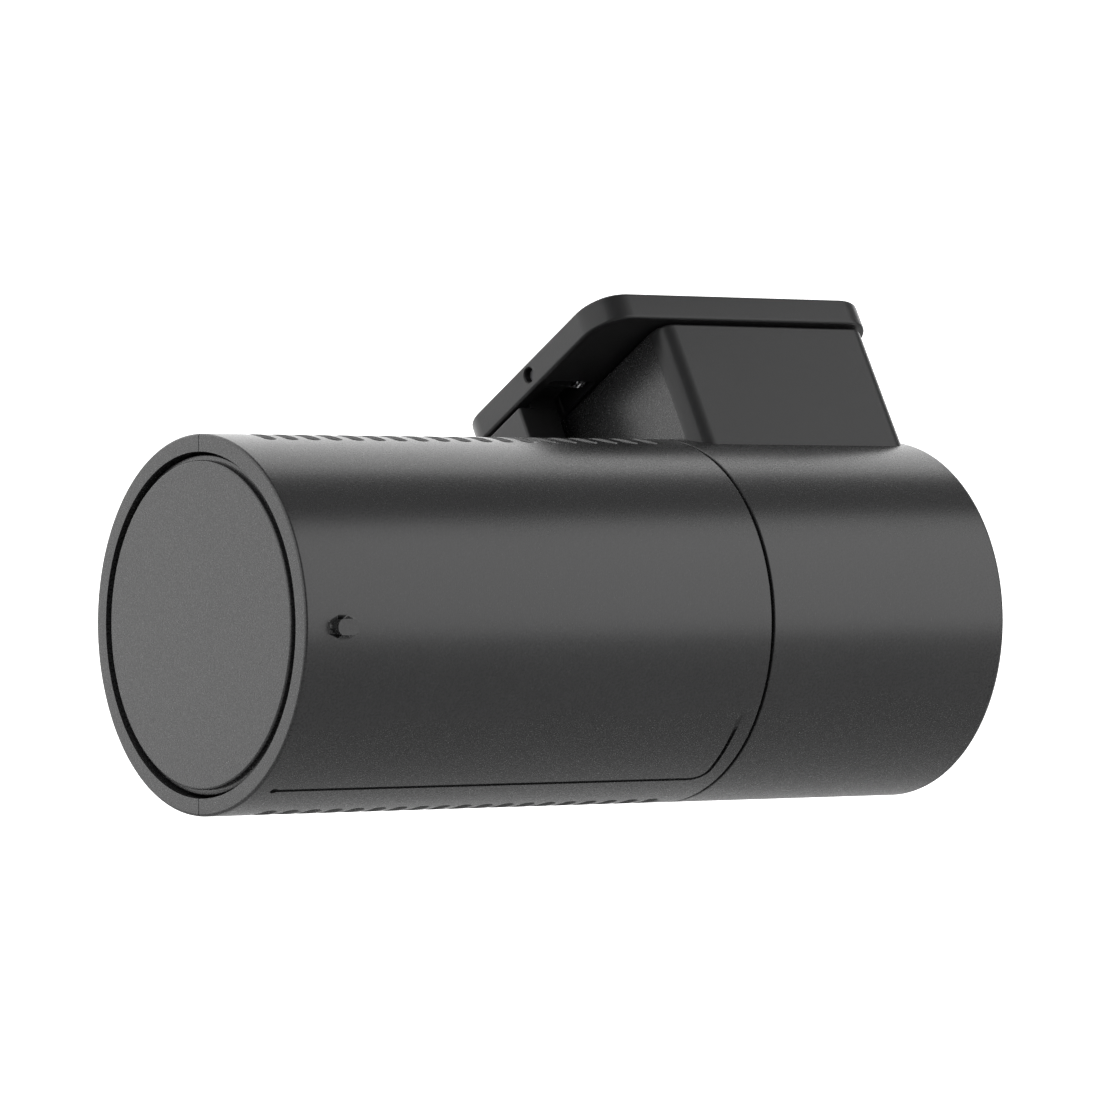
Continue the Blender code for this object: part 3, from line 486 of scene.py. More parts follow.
@dataclass
class NodeBoard:
    """A material's node tree, with short ways to add what the finishes need."""

    name: str
    tree: bpy.types.NodeTree = field(init=False)
    shader: bpy.types.Node = field(init=False)
    material: bpy.types.Material = field(init=False)

    def __post_init__(self) -> None:
        """Makes the material with its Principled shader and object coordinates."""
        self.material = bpy.data.materials.new(self.name)
        self.material.use_nodes = True
        self.tree = self.material.node_tree
        self.shader = self.tree.nodes["Principled BSDF"]
        self.place = self.tree.nodes.new("ShaderNodeTexCoord").outputs["Object"]

    def noise(self, size: float, detail: float, seed: float = 0.0, stretch: float = 1.0) -> bpy.types.NodeSocket:
        """Adds a noise of a given grain.

        Args:
            size: The grain's size in metres.
            detail: How many finer layers it has.
            seed: A shift in metres, so that two noises differ.
            stretch: How much longer the grain is along X than across.

        Returns:
            The noise's value.
        """
        mapping = self.tree.nodes.new("ShaderNodeMapping")
        mapping.inputs["Location"].default_value = (seed, seed * 2, seed * 3)
        mapping.inputs["Scale"].default_value = (1 / stretch, 1, 1)
        self.tree.links.new(self.place, mapping.inputs["Vector"])
        node = self.tree.nodes.new("ShaderNodeTexNoise")
        node.inputs["Scale"].default_value = 1 / size
        node.inputs["Detail"].default_value = detail
        self.tree.links.new(mapping.outputs["Vector"], node.inputs["Vector"])
        return node.outputs["Fac"]

    def cells(self, size: float) -> bpy.types.NodeSocket:
        """Adds a cell pattern and returns its distance value."""
        node = self.tree.nodes.new("ShaderNodeTexVoronoi")
        node.inputs["Scale"].default_value = 1 / size
        self.tree.links.new(self.place, node.inputs["Vector"])
        return node.outputs["Distance"]

    def ramp(self, value: bpy.types.NodeSocket, stops: Sequence[tuple[float, Sequence[float]]]) -> None:
        """Colours the base by a value.

        Args:
            value: What picks the colour.
            stops: Pairs of place and colour.
        """
        node = self.tree.nodes.new("ShaderNodeValToRGB")
        elements = node.color_ramp.elements
        while len(elements) < len(stops):
            elements.new(0.5)
        for element, (place, colour) in zip(elements, stops):
            element.position = place
            element.color = (*colour, 1)
        self.tree.links.new(value, node.inputs["Fac"])
        self.tree.links.new(node.outputs["Color"], self.shader.inputs["Base Color"])

    def roughen(self, value: bpy.types.NodeSocket, low: float, high: float) -> None:
        """Varies the roughness between two values.

        Args:
            value: What varies it.
            low: The roughness where value is low.
            high: The roughness where value is high.
        """
        node = self.tree.nodes.new("ShaderNodeMapRange")
        node.inputs["From Min"].default_value = 0.3
        node.inputs["From Max"].default_value = 0.7
        node.inputs["To Min"].default_value = low
        node.inputs["To Max"].default_value = high
        self.tree.links.new(value, node.inputs["Value"])
        self.tree.links.new(node.outputs["Result"], self.shader.inputs["Roughness"])

    def bump(self, value: bpy.types.NodeSocket, depth: float, strength: float = 1.0) -> None:
        """Raises the surface by a value.

        Args:
            value: The height, from 0 to 1.
            depth: The full height in metres.
            strength: How much of the bump shows.
        """
        node = self.tree.nodes.new("ShaderNodeBump")
        node.inputs["Distance"].default_value = depth
        node.inputs["Strength"].default_value = strength
        self.tree.links.new(value, node.inputs["Height"])
        self.tree.links.new(node.outputs["Normal"], self.shader.inputs["Normal"])


def shaded(colour: Sequence[float], factor: float) -> tuple[float, ...]:
    """Returns a colour made lighter or darker by a factor."""
    return tuple(min(1.0, c * factor) for c in colour)


@dataclass(frozen=True)
class MouldedPlastic:
    """A moulded plastic with a fine spark-eroded grain and slight variation of shade."""

    name: str
    colour: tuple[float, float, float]
    roughness: float
    grain: float = 0.00022
    grain_depth: float = 0.000006
    spread: float = 0.06
    coat: float = 0.0
    gloss: float = 0.5

    def make(self) -> bpy.types.Material:
        """Returns the material."""
        board = NodeBoard(self.name)
        cloud = board.noise(0.012, 3.0)
        board.ramp(
            cloud,
            [
                (0.3, shaded(self.colour, 1 - self.spread)),
                (0.7, shaded(self.colour, 1 + self.spread)),
            ],
        )
        fine = board.noise(self.grain, 2.0, seed=0.4)
        board.roughen(fine, self.roughness - 0.03, self.roughness + 0.03)
        board.bump(fine, self.grain_depth)
        board.shader.inputs["Specular IOR Level"].default_value = self.gloss
        board.shader.inputs["Coat Weight"].default_value = self.coat
        board.shader.inputs["Coat Roughness"].default_value = 0.08
        return board.material


@dataclass(frozen=True)
class LensGlass:
    """Coated glass: a clear body with a faint tint and a sheen from its coating."""

    name: str
    tint: tuple[float, float, float]
    coating: tuple[float, float, float]

    def make(self) -> bpy.types.Material:
        """Returns the material."""
        board = NodeBoard(self.name)
        haze = board.noise(0.006, 1.0)
        board.ramp(haze, [(0.2, self.tint), (0.8, shaded(self.tint, 1.05))])
        board.roughen(board.noise(0.002, 2.0, seed=0.2), 0.01, 0.03)
        board.shader.inputs["Transmission Weight"].default_value = 1.0
        board.shader.inputs["IOR"].default_value = 1.52
        board.shader.inputs["Coat Weight"].default_value = 0.6
        board.shader.inputs["Coat Tint"].default_value = (*self.coating, 1)
        board.shader.inputs["Specular Tint"].default_value = (*self.coating, 1)
        return board.material


@dataclass(frozen=True)
class WorkedMetal:
    """A metal with fine marks left along X by its making."""

    name: str
    colour: tuple[float, float, float]
    roughness: float
    stretch: float = 6.0

    def make(self) -> bpy.types.Material:
        """Returns the material."""
        board = NodeBoard(self.name)
        marks = board.noise(0.0003, 3.0, stretch=self.stretch)
        board.ramp(marks, [(0.25, shaded(self.colour, 0.85)), (0.75, self.colour)])
        board.roughen(marks, self.roughness - 0.06, self.roughness + 0.08)
        board.bump(marks, 0.000004)
        board.shader.inputs["Metallic"].default_value = 1.0
        return board.material


@dataclass(frozen=True)
class CircuitLaminate:
    """A board's lacquered laminate, with the tracks showing through as darker cells."""

    name: str
    colour: tuple[float, float, float]

    def make(self) -> bpy.types.Material:
        """Returns the material."""
        board = NodeBoard(self.name)
        tracks = board.cells(0.0014)
        board.ramp(
            tracks,
            [
                (0.0, shaded(self.colour, 1.9)),
                (0.16, shaded(self.colour, 1.7)),
                (0.2, self.colour),
                (1.0, shaded(self.colour, 0.8)),
            ],
        )
        board.roughen(board.noise(0.0008, 2.0), 0.3, 0.42)
        board.bump(tracks, 0.00002, 0.4)
        return board.material


@dataclass(frozen=True)
class FoamTape:
    """Closed-cell adhesive foam."""

    name: str
    colour: tuple[float, float, float]

    def make(self) -> bpy.types.Material:
        """Returns the material."""
        board = NodeBoard(self.name)
        foam = board.cells(0.00035)
        board.ramp(foam, [(0.1, shaded(self.colour, 0.6)), (0.6, shaded(self.colour, 1.25))])
        board.roughen(board.noise(0.0006, 2.0), 0.75, 0.9)
        board.bump(foam, 0.00004, 0.8)
        return board.material


@dataclass(frozen=True)
class LightGuide:
    """A frosted light guide, clear enough to look lighter than what it is set in."""

    name: str
    colour: tuple[float, float, float]
    glow: float = 0.0

    def make(self) -> bpy.types.Material:
        """Returns the material."""
        board = NodeBoard(self.name)
        frost = board.noise(0.0002, 2.0)
        board.ramp(frost, [(0.3, shaded(self.colour, 0.9)), (0.7, shaded(self.colour, 1.1))])
        board.roughen(frost, 0.3, 0.42)
        board.bump(frost, 0.000005)
        board.shader.inputs["Subsurface Weight"].default_value = 0.0
        board.shader.inputs["Emission Color"].default_value = (*self.colour, 1)
        board.shader.inputs["Emission Strength"].default_value = self.glow
        return board.material


@dataclass
class Finishes:
    """Every finish of the object, made once."""

    made: dict[str, bpy.types.Material] = field(default_factory=dict)

    RECIPES = (
        MouldedPlastic("satin_casing", (0.019, 0.019, 0.0195), 0.28),
        MouldedPlastic("bracket_casing", (0.015, 0.015, 0.0155), 0.32, gloss=0.33),
        MouldedPlastic("black_inner_plastic", (0.012, 0.012, 0.013), 0.5, spread=0.12),
        MouldedPlastic("gloss_bezel", (0.010, 0.010, 0.011), 0.22, 0.0003, 0.000002, coat=0.5),
        MouldedPlastic("slippery_plastic", (0.72, 0.70, 0.66), 0.38),
        MouldedPlastic("chip_resin", (0.014, 0.014, 0.015), 0.48, 0.00012, 0.000008, spread=0.2),
        MouldedPlastic("aerial_ceramic", (0.62, 0.57, 0.45), 0.5, 0.0005, 0.00001, spread=0.1),
        MouldedPlastic("soft_jacket", (0.012, 0.012, 0.013), 0.58, 0.0004, 0.000015, spread=0.15),
        MouldedPlastic("thermal_gel", (0.34, 0.36, 0.44), 0.8, 0.0008, 0.00003, spread=0.12),
        LensGlass("front_glass", (0.93, 0.95, 0.97), (0.62, 0.74, 1.0)),
        LensGlass("inner_glass", (0.95, 0.94, 0.90), (0.75, 1.0, 0.78)),
        WorkedMetal("bright_steel", (0.62, 0.62, 0.63), 0.28),
        WorkedMetal("black_steel", (0.06, 0.06, 0.063), 0.36),
        WorkedMetal("rolled_aluminium", (0.78, 0.78, 0.80), 0.34, 12.0),
        WorkedMetal("gold_contact", (0.85, 0.62, 0.26), 0.22),
        CircuitLaminate("board_laminate", (0.010, 0.055, 0.028)),
        FoamTape("pad_foam", (0.035, 0.036, 0.038)),
        LightGuide("frosted_guide", (0.045, 0.045, 0.047)),
        LightGuide("light_die", (0.80, 0.76, 0.45)),
    )

    def get(self, name: str) -> bpy.types.Material:
        """Returns a finish by name, making it the first time."""
        if name not in self.made:
            recipe = next(r for r in self.RECIPES if r.name == name)
            self.made[name] = recipe.make()
        return self.made[name]


# ---- shared shapes ----------------------------------------------------------------------------


def soft_box(
    name: str,
    low: Sequence[float],
    high: Sequence[float],
    corner: float,
    along: int = 2,
    edge: float = 0.25,
) -> bpy.types.Object:
    """Adds a box with rounded corners along one axis and small rounded edges elsewhere.

    Args:
        name: The new object's name.
        low: The lowest corner.
        high: The highest corner.
        corner: The radius of the corners that run along the axis.
        along: The axis: 0, 1 or 2.
        edge: The radius of the other edges, or 0 to leave them sharp.

    Returns:
        The box.
    """
    obj = box(name, low, high)
    bevel_chosen(obj, runs_along(along), corner, 8)
    if edge:
        soften(obj, edge, 3, 50)
    return obj


def slot_cutter(
    name: str, low: Sequence[float], high: Sequence[float], depth: float, flare: float
) -> bpy.types.Object:
    """Makes a cutter for a round-ended slot in a wall whose outer face is at Y = 0.

    Args:
        name: The cutter's name.
        low: The slot's lowest X and Z.
        high: The slot's highest X and Z.
        depth: How far in along +Y it reaches.
        flare: How far its mouth opens out, so that the slot's edge is eased.

    Returns:
        The cutter.
    """
    size = (high[0] - low[0], high[1] - low[1])
    obj = box(name, (low[0], flare, low[1]), (high[0], depth, high[1]))
    bevel_chosen(obj, runs_along(1), min(size) * 0.46, 6)
    pick(obj, "FACE", faces_at(1, flare))
    middle = ((low[0] + high[0]) / 2, 0, (low[1] + high[1]) / 2)
    bpy.ops.mesh.extrude_region_move()
    bpy.ops.transform.translate(value=(0, -flare, 0))
    grow = [(s + 2 * flare) / s for s in size]
    bpy.ops.transform.resize(value=(grow[0], 1, grow[1]), center_override=middle)
    bpy.ops.mesh.extrude_region_move()
    bpy.ops.transform.translate(value=(0, -1, 0))
    return leave(obj)


def repeat(obj: bpy.types.Object, count: int, step: Sequence[float]) -> None:
    """Repeats a shape in a row, inside the same mesh."""
    modifier = obj.modifiers.new("row", "ARRAY")
    modifier.count = count
    modifier.use_relative_offset = False
    modifier.use_constant_offset = True
    modifier.constant_offset_displace = step
    apply_modifier(obj, modifier)


def cross_screw(
    name: str, face: Sequence[float], reach: float, head_radius: float, head_height: float
) -> bpy.types.Object:
    """Models a pan-head screw with a cross recess, along X.

    Args:
        name: The screw's name.
        face: The middle of the head's outer face.
        reach: How far the screw runs from there, along +X or -X.
        head_radius: The head's radius.
        head_height: The head's height.

    Returns:
        The screw.
    """
    way = 1 if reach > 0 else -1
    shank = 0.6
    end = abs(reach)
    crown = head_height * 0.35
    rings: list[Ring] = [
        (0, head_radius * 0.55),
        (crown * 0.35, head_radius * 0.85),
        (crown, head_radius),
        (head_height, head_radius),
        (head_height, shank),
    ]
    along = head_height + 0.2
    while along + 0.5 < end - 0.4:
        rings += [(along, shank * 0.8), (along + 0.25, shank)]
        along += 0.5
    rings += [(end - 0.3, shank * 0.8), (end, shank * 0.3)]
    rings = [(way * a, r) for a, r in rings]
    obj = lathe(name, rings, Axis.X, face, 32)
    x, y, z = face
    depth = head_height * 0.55
    span = sorted((x - way * 0.5, x + way * depth))
    arm = head_radius * 0.62
    half = head_radius * 0.12
    across = box(name + "_a", (span[0], y - arm, z - half), (span[1], y + arm, z + half))
    upright = box(name + "_b", (span[0], y - half, z - arm), (span[1], y + half, z + arm))
    join(across, upright)
    cut(obj, across)
    smooth(obj, 40)
    return obj


# ---- barrel -----------------------------------------------------------------------------------


@dataclass
class BarrelShells:
    """The two half shells, drawn flat with Z as the arc's length, then bent round the tube."""

    layout: Layout
    finishes: Finishes
    wall: float = 1.7
    seam: float = 0.05
    cells: int = 96
    columns: int = 46
    rim_edge: float = 0.28
    parting_edge: float = 0.16
    vent_first: float = 5.3
    vent_pitch: float = 2.5
    vent_width: float = 1.2
    vent_reach: float = 4.5
    vent_margin: float = 4.0
    vent_flare: float = 0.14
    light_x: float = 4.1
    light_size: Ring = (2.1, 1.2)
    light_gap: float = 0.07
    gap: float = 0.3
    groove_low: float = -58.4
    groove_top: float = -29.4
    groove_start: float = 2.2
    groove_x: float = 52.4
    groove_corner: float = 1.6
    groove_radius: float = 0.27
    groove_depth: float = 0.42
    lens_x: float = 27.0
    lens_radius: float = 10.0
    front_light: tuple[float, float, float] = (13.4, 1.5, 0.8)

    def arc(self, degrees: float) -> float:
        """Returns the length along the outer face up to an angle above the middle."""
        return math.radians(degrees) * self.layout.radius

    def sheet(self, name: str) -> bpy.types.Object:
        """Draws one flat shell with eased edges.

        Args:
            name: The shell's name.

        Returns:
            The slab, with its outer face at Y = 0 and its inner one at Y = wall.
        """
        length = self.layout.barrel_end
        half = self.layout.radius * (math.pi / 2 - math.asin(self.seam / self.layout.radius))
        deselect()
        bpy.ops.mesh.primitive_grid_add(
            x_subdivisions=self.columns, y_subdivisions=self.cells, size=1
        )
        obj = bpy.context.active_object
        obj.rotation_euler = (math.pi / 2, 0, 0)
        obj.scale = (length, 2 * half, 1)
        obj.location = (length / 2, 0, 0)
        named(name)
        pick(obj, "FACE", lambda centre, normal: True)
        bpy.ops.mesh.extrude_region_move()
        bpy.ops.transform.translate(value=(0, self.wall, 0))
        bpy.ops.mesh.select_all(action="SELECT")
        bpy.ops.mesh.normals_make_consistent(inside=False)
        leave(obj)
        for value, width in ((0.0, self.rim_edge), (length, self.parting_edge)):
            bevel_chosen(obj, self.outer_edge(0, value), width, 4)
        for value in (-half, half):
            bevel_chosen(obj, self.outer_edge(2, value), 0.1, 2)
        return obj

    def outer_edge(self, index: int, value: float) -> Callable[[Vector, Vector], bool]:
        """Returns a test for the outer face's edges that lie at one value of an axis."""

        def test(a: Vector, b: Vector) -> bool:
            """Whether the edge is on the outer face at that value."""
            return lies_at(index, value)(a, b) and lies_at(1, 0.0)(a, b)

        return test

    def vents(self) -> list[bpy.types.Object]:
        """Returns the two rows of vent cutters, at the top seam and at the bottom one."""
        last = self.layout.barrel_end - self.vent_margin - self.vent_first
        count = int(last / self.vent_pitch) + 1
        edge = self.arc(90)
        reach = self.layout.radius * math.asin(self.vent_reach / self.layout.radius)
        half = self.vent_width / 2
        rows = []
        for side in (-1, 1):
            heights = sorted((side * (edge - reach), side * (edge + 2)))
            row = slot_cutter(
                "vents",
                (self.vent_first - half, heights[0]),
                (self.vent_first + half, heights[1]),
                self.wall + 1,
                self.vent_flare,
            )
            repeat(row, count, (self.vent_pitch, 0, 0))
            rows.append(row)
        return rows

    def groove(self) -> bpy.types.Object:
        """Draws the cutter of the long groove that turns up beside the parting line.

        Returns:
            A bent rod that runs along the shell's lower part and fades out as it rises.
        """
        y = self.groove_radius - self.groove_depth
        low = self.arc(self.groove_low)
        turn_x = self.groove_x - self.groove_corner
        length = turn_x - self.groove_start
        obj = rod("groove", (self.groove_start, -y, low), length, self.groove_radius, Axis.X, 16)
        pick(obj, "FACE", faces_at(0, turn_x))
        centre = (turn_x, -y, low + self.groove_corner)
        steps = 8
        turn = math.pi / 2 / steps
        for step in range(steps):
            bpy.ops.mesh.extrude_region_move()
            bpy.ops.transform.rotate(value=turn, orient_axis="Y", center_override=centre)
        rise = self.arc(self.groove_top) - low - self.groove_corner
        for share, lift in ((0.7, 0.0), (0.3, self.groove_depth)):
            bpy.ops.mesh.extrude_region_move()
            bpy.ops.transform.translate(value=(0, -lift, rise * share))
        return leave(obj)

    def bend(self, obj: bpy.types.Object) -> None:
        """Bends a flat shell round the tube's axis, with its outer face on the tube's radius."""
        heights = [v.co.z for v in obj.data.vertices]
        modifier = obj.modifiers.new("bend", "SIMPLE_DEFORM")
        modifier.deform_method = "BEND"
        modifier.deform_axis = "X"
        modifier.angle = (max(heights) - min(heights)) / self.layout.radius
        apply_modifier(obj, modifier)
        obj.data.transform(Matrix.Translation((0, -self.layout.radius, 0)))

    def build(self) -> None:
        """Models both shells and hands them over."""
        plastic = self.finishes.get("satin_casing")
        rear = self.sheet("rear_shell_casing")
        half_x = self.light_size[0] / 2 + self.light_gap
        half_z = self.light_size[1] / 2 + self.light_gap
        window = slot_cutter(
            "window",
            (self.light_x - half_x, -half_z),
            (self.light_x + half_x, half_z),
            self.wall + 1,
            0.05,
        )
        gate = rod(
            "gate", (self.groove_start, -1, self.arc(self.groove_low)), 1.5, 0.42, Axis.Y, 24
        )
        cut(rear, *self.vents(), window, self.groove(), gate)
        self.bend(rear)
        smooth(rear)
        seat(rear, self.layout.tube, Body.BARREL, "body_plastic", plastic, "rear_shell")
        front = self.sheet("front_shell_casing")
        cut(front, *self.vents())
        self.bend(front)
        front.data.transform(Matrix.Rotation(math.pi, 4, "X"))
        hole = self.lens_radius + self.gap
        outside = self.layout.radius
        lens = lathe(
            "lens_hole",
            [(0, hole), (outside - 3.0, hole), (outside + 4, hole)],
            Axis.Y,
            (self.lens_x, 0, 0),
        )
        x, z, radius = self.front_light
        pipe = rod("pipe_hole", (x, 5, z), 20, radius + self.gap, Axis.Y, 32)
        cut(front, lens, pipe)
        smooth(front)
        seat(front, self.layout.tube, Body.BARREL, "body_plastic", plastic, "front_shell")


@dataclass
class BarrelEnd:
    """The end cover and the two light pipes."""

    layout: Layout
    finishes: Finishes
    cover_radius: float = 15.5
    groove_depth: float = 0.6
    flange: float = 1.2
    flange_radius: float = 16.0
    skirt: float = 0.9
    skirt_wall: float = 1.2
    edge: float = 0.22
    pipe_proud: float = 0.1

    def build_cover(self) -> None:
        """Turns the end cover: a flat disc, its groove, its flange and its skirt."""
        back = self.groove_depth + self.flange
        skirt = self.cover_radius - 0.5
        r = self.cover_radius
        obj = lathe(
            "end_cover_disc",
            [
                (0.0, r - self.edge),
                (self.edge * 0.3, r - self.edge * 0.3),
                (self.edge, r),
                (self.groove_depth, r),
                (self.groove_depth, self.flange_radius - 0.1),
                (self.groove_depth + 0.1, self.flange_radius),
                (back, self.flange_radius),
                (back, skirt),
                (back + self.skirt - 0.15, skirt),
                (back + self.skirt, skirt - 0.15),
                (back + self.skirt, skirt - self.skirt_wall),
                (back, skirt - self.skirt_wall),
            ],
            Axis.X,
            steps=192,
        )
        for side in (-1, 1):
            for lift in (-1, 1):
                y = side * (skirt - 2.0)
                finger = soft_box(
                    "finger",
                    (back - 0.2, y - 1.0, lift * 4.0 - 1.4),
                    (back + self.skirt, y + 1.0, lift * 4.0 + 1.4),
                    0.4,
                    0,
                    0,
                )
                join(obj, finger)
        smooth(obj, 50)
        plastic = self.finishes.get("satin_casing")
        seat(obj, self.layout.tube, Body.COVER, "body_plastic", plastic, "end_cover")

    def build_pipes(self) -> None:
        """Models the status light's pipe and the front light's pipe, with eased tips."""
        guide = self.finishes.get("frosted_guide")
        low, high = self.layout.span("status_light_pipe", self.layout.tube)
        half = (high.z - low.z) / 2
        pipe = box("status_light_tip", low, high)
        bevel_chosen(pipe, runs_along(1), half * 0.9, 8)
        smooth(pipe)
        seat(pipe, self.layout.tube, Body.BARREL, "light_pipe", guide, "status_light_pipe")
        low, high = self.layout.span("front_light_pipe", self.layout.tube)
        radius = (high.x - low.x) / 2
        middle = ((low.x + high.x) / 2, 0, (low.z + high.z) / 2)
        rings = [
            (low.y, radius * 0.8),
            (low.y + 0.2, radius),
            (high.y - 0.35, radius),
            (high.y - 0.12, radius * 0.86),
            (high.y, radius * 0.45),
        ]
        front = lathe("front_light_tip", rings, Axis.Y, middle, 40)
        smooth(front, 50)
        seat(front, self.layout.tube, Body.BARREL, "light_pipe", guide, "front_light_pipe")


@dataclass
class CardBay:
    """What shows once the end cover is off: the bay's plate, the card, buttons and screws."""

    layout: Layout
    finishes: Finishes
    x: float = 6.2
    thickness: float = 1.4
    radius: float = 16.0
    card_slot: tuple[float, float, float, float] = (-2.95, -1.35, -12.3, -0.7)
    button_y: float = -1.5
    button_z: Ring = (5.0, 10.4)
    button_radius: float = 1.8
    gap: float = 0.3
    screw_y: float = 2.7
    screw_z: float = 12.3

    def build_plate(self) -> None:
        """Models the plate with a moulded rim, ribs, and holes for what comes through it."""
        end = self.x + self.thickness
        plate = lathe(
            "card_bay_panel",
            [
                (self.x, self.radius - 0.15),
                (self.x + 0.15, self.radius),
                (end, self.radius),
            ],
            Axis.X,
            steps=128,
        )
        shelf = box("shelf", (2.6, -6.7, -3), (self.x + self.thickness / 2, -5.4, 3))
        join(plate, shelf)
        y0, y1, z0, z1 = self.card_slot
        hollow = soft_box("hollow", (self.x - 1, y0, z0), (end + 1, y1, z1), 0.3, 0, 0)
        cut(plate, hollow)
        for z in self.button_z:
            hole = rod(
                "hole",
                (self.x - 1, self.button_y, z),
                self.thickness + 2,
                self.button_radius + self.gap,
                Axis.X,
                64,
            )
            cut(plate, hole)
        for side in (-1, 1):
            hole = rod("hole", (self.x - 1, self.screw_y, side * self.screw_z), 4, 0.9, Axis.X)
            cut(plate, hole)
        recess = soft_box("recess", (self.x - 1, 6.0, -6.5), (self.x + 0.4, 12.5, 6.5), 1.2, 0, 0)
        cut(plate, recess)
        smooth(plate, 35)
        black = self.finishes.get("black_inner_plastic")
        seat(plate, self.layout.tube, Body.BARREL, "inner_plastic", black, "card_bay_plate")

    def build_buttons(self) -> None:
        """Turns both buttons, with a dished cap and the lip that keeps them in."""
        black = self.finishes.get("black_inner_plastic")
        face = self.x - 1.2
        lip = self.x + self.thickness + self.gap
        r = self.button_radius
        for label, z, body in zip(("wifi", "format"), self.button_z, (Body.WIFI, Body.FORMAT)):
            obj = lathe(
                f"{label}_button_cap",
                [
                    (face + 0.12, 0.5),
                    (face + 0.05, r * 0.6),
                    (face, r - 0.3),
                    (face + 0.08, r - 0.08),
                    (face + 0.3, r),
                    (lip, r),
                    (lip, r + 0.6),
                    (lip + 0.5, r + 0.6),
                ],
                Axis.X,
                (0, self.button_y, z),
                64,
            )
            smooth(obj, 50)
            seat(obj, self.layout.tube, body, "inner_plastic", black, f"{label}_button")

    def build_card(self) -> None:
        """Models the memory card, with its finger ledge and its slanted notch."""
        low, high = self.layout.span("memory_card", self.layout.tube)
        card = soft_box("memory_card_body", low, high, 0.7, 1, 0)
        notch = box(
            "notch",
            (low.x + 5.0, low.y - 1, high.z - 0.9),
            (low.x + 8.5, high.y + 1, high.z + 1),
        )
        bevel_chosen(notch, runs_along(1), 0.6, 1)
        ledge = box("ledge", (low.x - 1, high.y - 0.25, low.z - 1), (low.x + 1.3, high.y + 1, high.z + 1))
        cut(card, notch, ledge)
        soften(card, 0.08, 2, 50)
        smooth(card)
        resin = self.finishes.get("chip_resin")
        seat(card, self.layout.tube, Body.CARD, "chip_resin", resin, "memory_card")

    def build(self) -> None:
        """Models every piece of the bay."""
        self.build_plate()
        self.build_buttons()
        self.build_card()
        steel = self.finishes.get("black_steel")
        for number, side in ((1, -1), (2, 1)):
            low, high = self.layout.span(f"bay_screw_{number}", self.layout.tube)
            spot = (low.x, self.screw_y, side * self.screw_z)
            screw = cross_screw(f"bay_panel_screw_{number}", spot, high.x - low.x, 1.3, 0.9)
            seat(screw, self.layout.tube, Body.BARREL, "steel", steel, f"bay_screw_{number}")


@dataclass
class LensUnit:
    """The bezel, the stepped baffle inside it, and the glass."""

    layout: Layout
    finishes: Finishes
    x: float = 27.0
    radius: float = 10.0
    proud: float = 3.0
    bore: float = 7.8
    glass_radius: float = 7.4
    glass_edge: float = 0.8
    glass_crown: float = 1.4

    def build_bezel(self) -> None:
        """Turns the bezel: a rounded front lip, a cone that falls in to the glass, and a step."""
        low, high = self.layout.span("lens_bezel", self.layout.tube)
        front = high.y
        r = self.radius
        rings: list[Ring] = [(low.y, self.bore), (low.y, r)]
        rings += [(front - 0.9, r), (front - 0.55, r - 0.06), (front - 0.25, r - 0.25)]
        rings += [(front - 0.06, r - 0.55), (front, r - 0.9), (front - 0.05, r - 1.05)]
        rings += [(front - 0.45, r - 1.35), (front - 0.5, r - 1.65), (front - 0.85, r - 1.75)]
        rings += [(front - 0.9, r - 2.0), (front - 1.2, self.bore)]
        bezel = lathe("lens_bezel_ring", rings, Axis.Y, (self.x, 0, 0), 160, closed=True)
        smooth(bezel, 42)
        gloss = self.finishes.get("gloss_bezel")
        seat(bezel, self.layout.tube, Body.BARREL, "bezel_plastic", gloss, "lens_bezel")

    def build_barrel(self) -> None:
        """Turns the lens barrel, with the stepped baffle rings that show through the glass."""
        low, high = self.layout.span("lens_barrel", self.layout.tube)
        outer = self.glass_radius
        inner = outer - 1.0
        rings: list[Ring] = [(low.y, inner), (low.y, outer), (high.y, outer), (high.y, inner + 0.6)]
        along = high.y
        stop = high.y - 3.4
        while along > stop + 0.3:
            rings += [(along - 0.1, inner), (along - 0.55, inner), (along - 0.6, inner + 0.35)]
            along -= 0.85
        rings += [(stop - 0.3, inner)]
        barrel = lathe("lens_barrel_tube", rings, Axis.Y, (self.x, 0, 0), 128, closed=True)
        smooth(barrel, 35)
        black = self.finishes.get("black_inner_plastic")
        seat(barrel, self.layout.tube, Body.BARREL, "inner_plastic", black, "lens_barrel")

    def build_glass(self) -> None:
        """Turns each glass as a plano-convex disc with a ground edge."""
        for node, name, finish in (
            ("front_lens", "front_lens_glass", "front_glass"),
            ("middle_lens", "middle_lens_glass", "inner_glass"),
            ("rear_lens", "rear_lens_glass", "inner_glass"),
        ):
            low, high = self.layout.span(node, self.layout.tube)
            radius = (high.x - low.x) / 2
            crown = (high.y - low.y) * (0.64 if node == "front_lens" else 0.4)
            edge = high.y - crown
            ball = (radius**2 + crown**2) / (2 * crown)
            rings: list[Ring] = [(low.y, radius - 0.1), (low.y + 0.1, radius), (edge, radius)]
            count = 14
            for step in range(1, count):
                reach = radius * (1 - step / count)
                rings.append((edge + math.sqrt(ball**2 - reach**2) - (ball - crown), reach))
            disc = lathe(name, rings, Axis.Y, (self.x, 0, 0), 128)
            smooth(disc, 35)
            glass = self.finishes.get(finish)
            seat(disc, self.layout.tube, Body.BARREL, "lens_glass", glass, node)

    def build(self) -> None:
        """Models every piece of the lens."""
        self.build_bezel()
        self.build_barrel()
        self.build_glass()


# ---- mount section and bracket ----------------------------------------------------------------


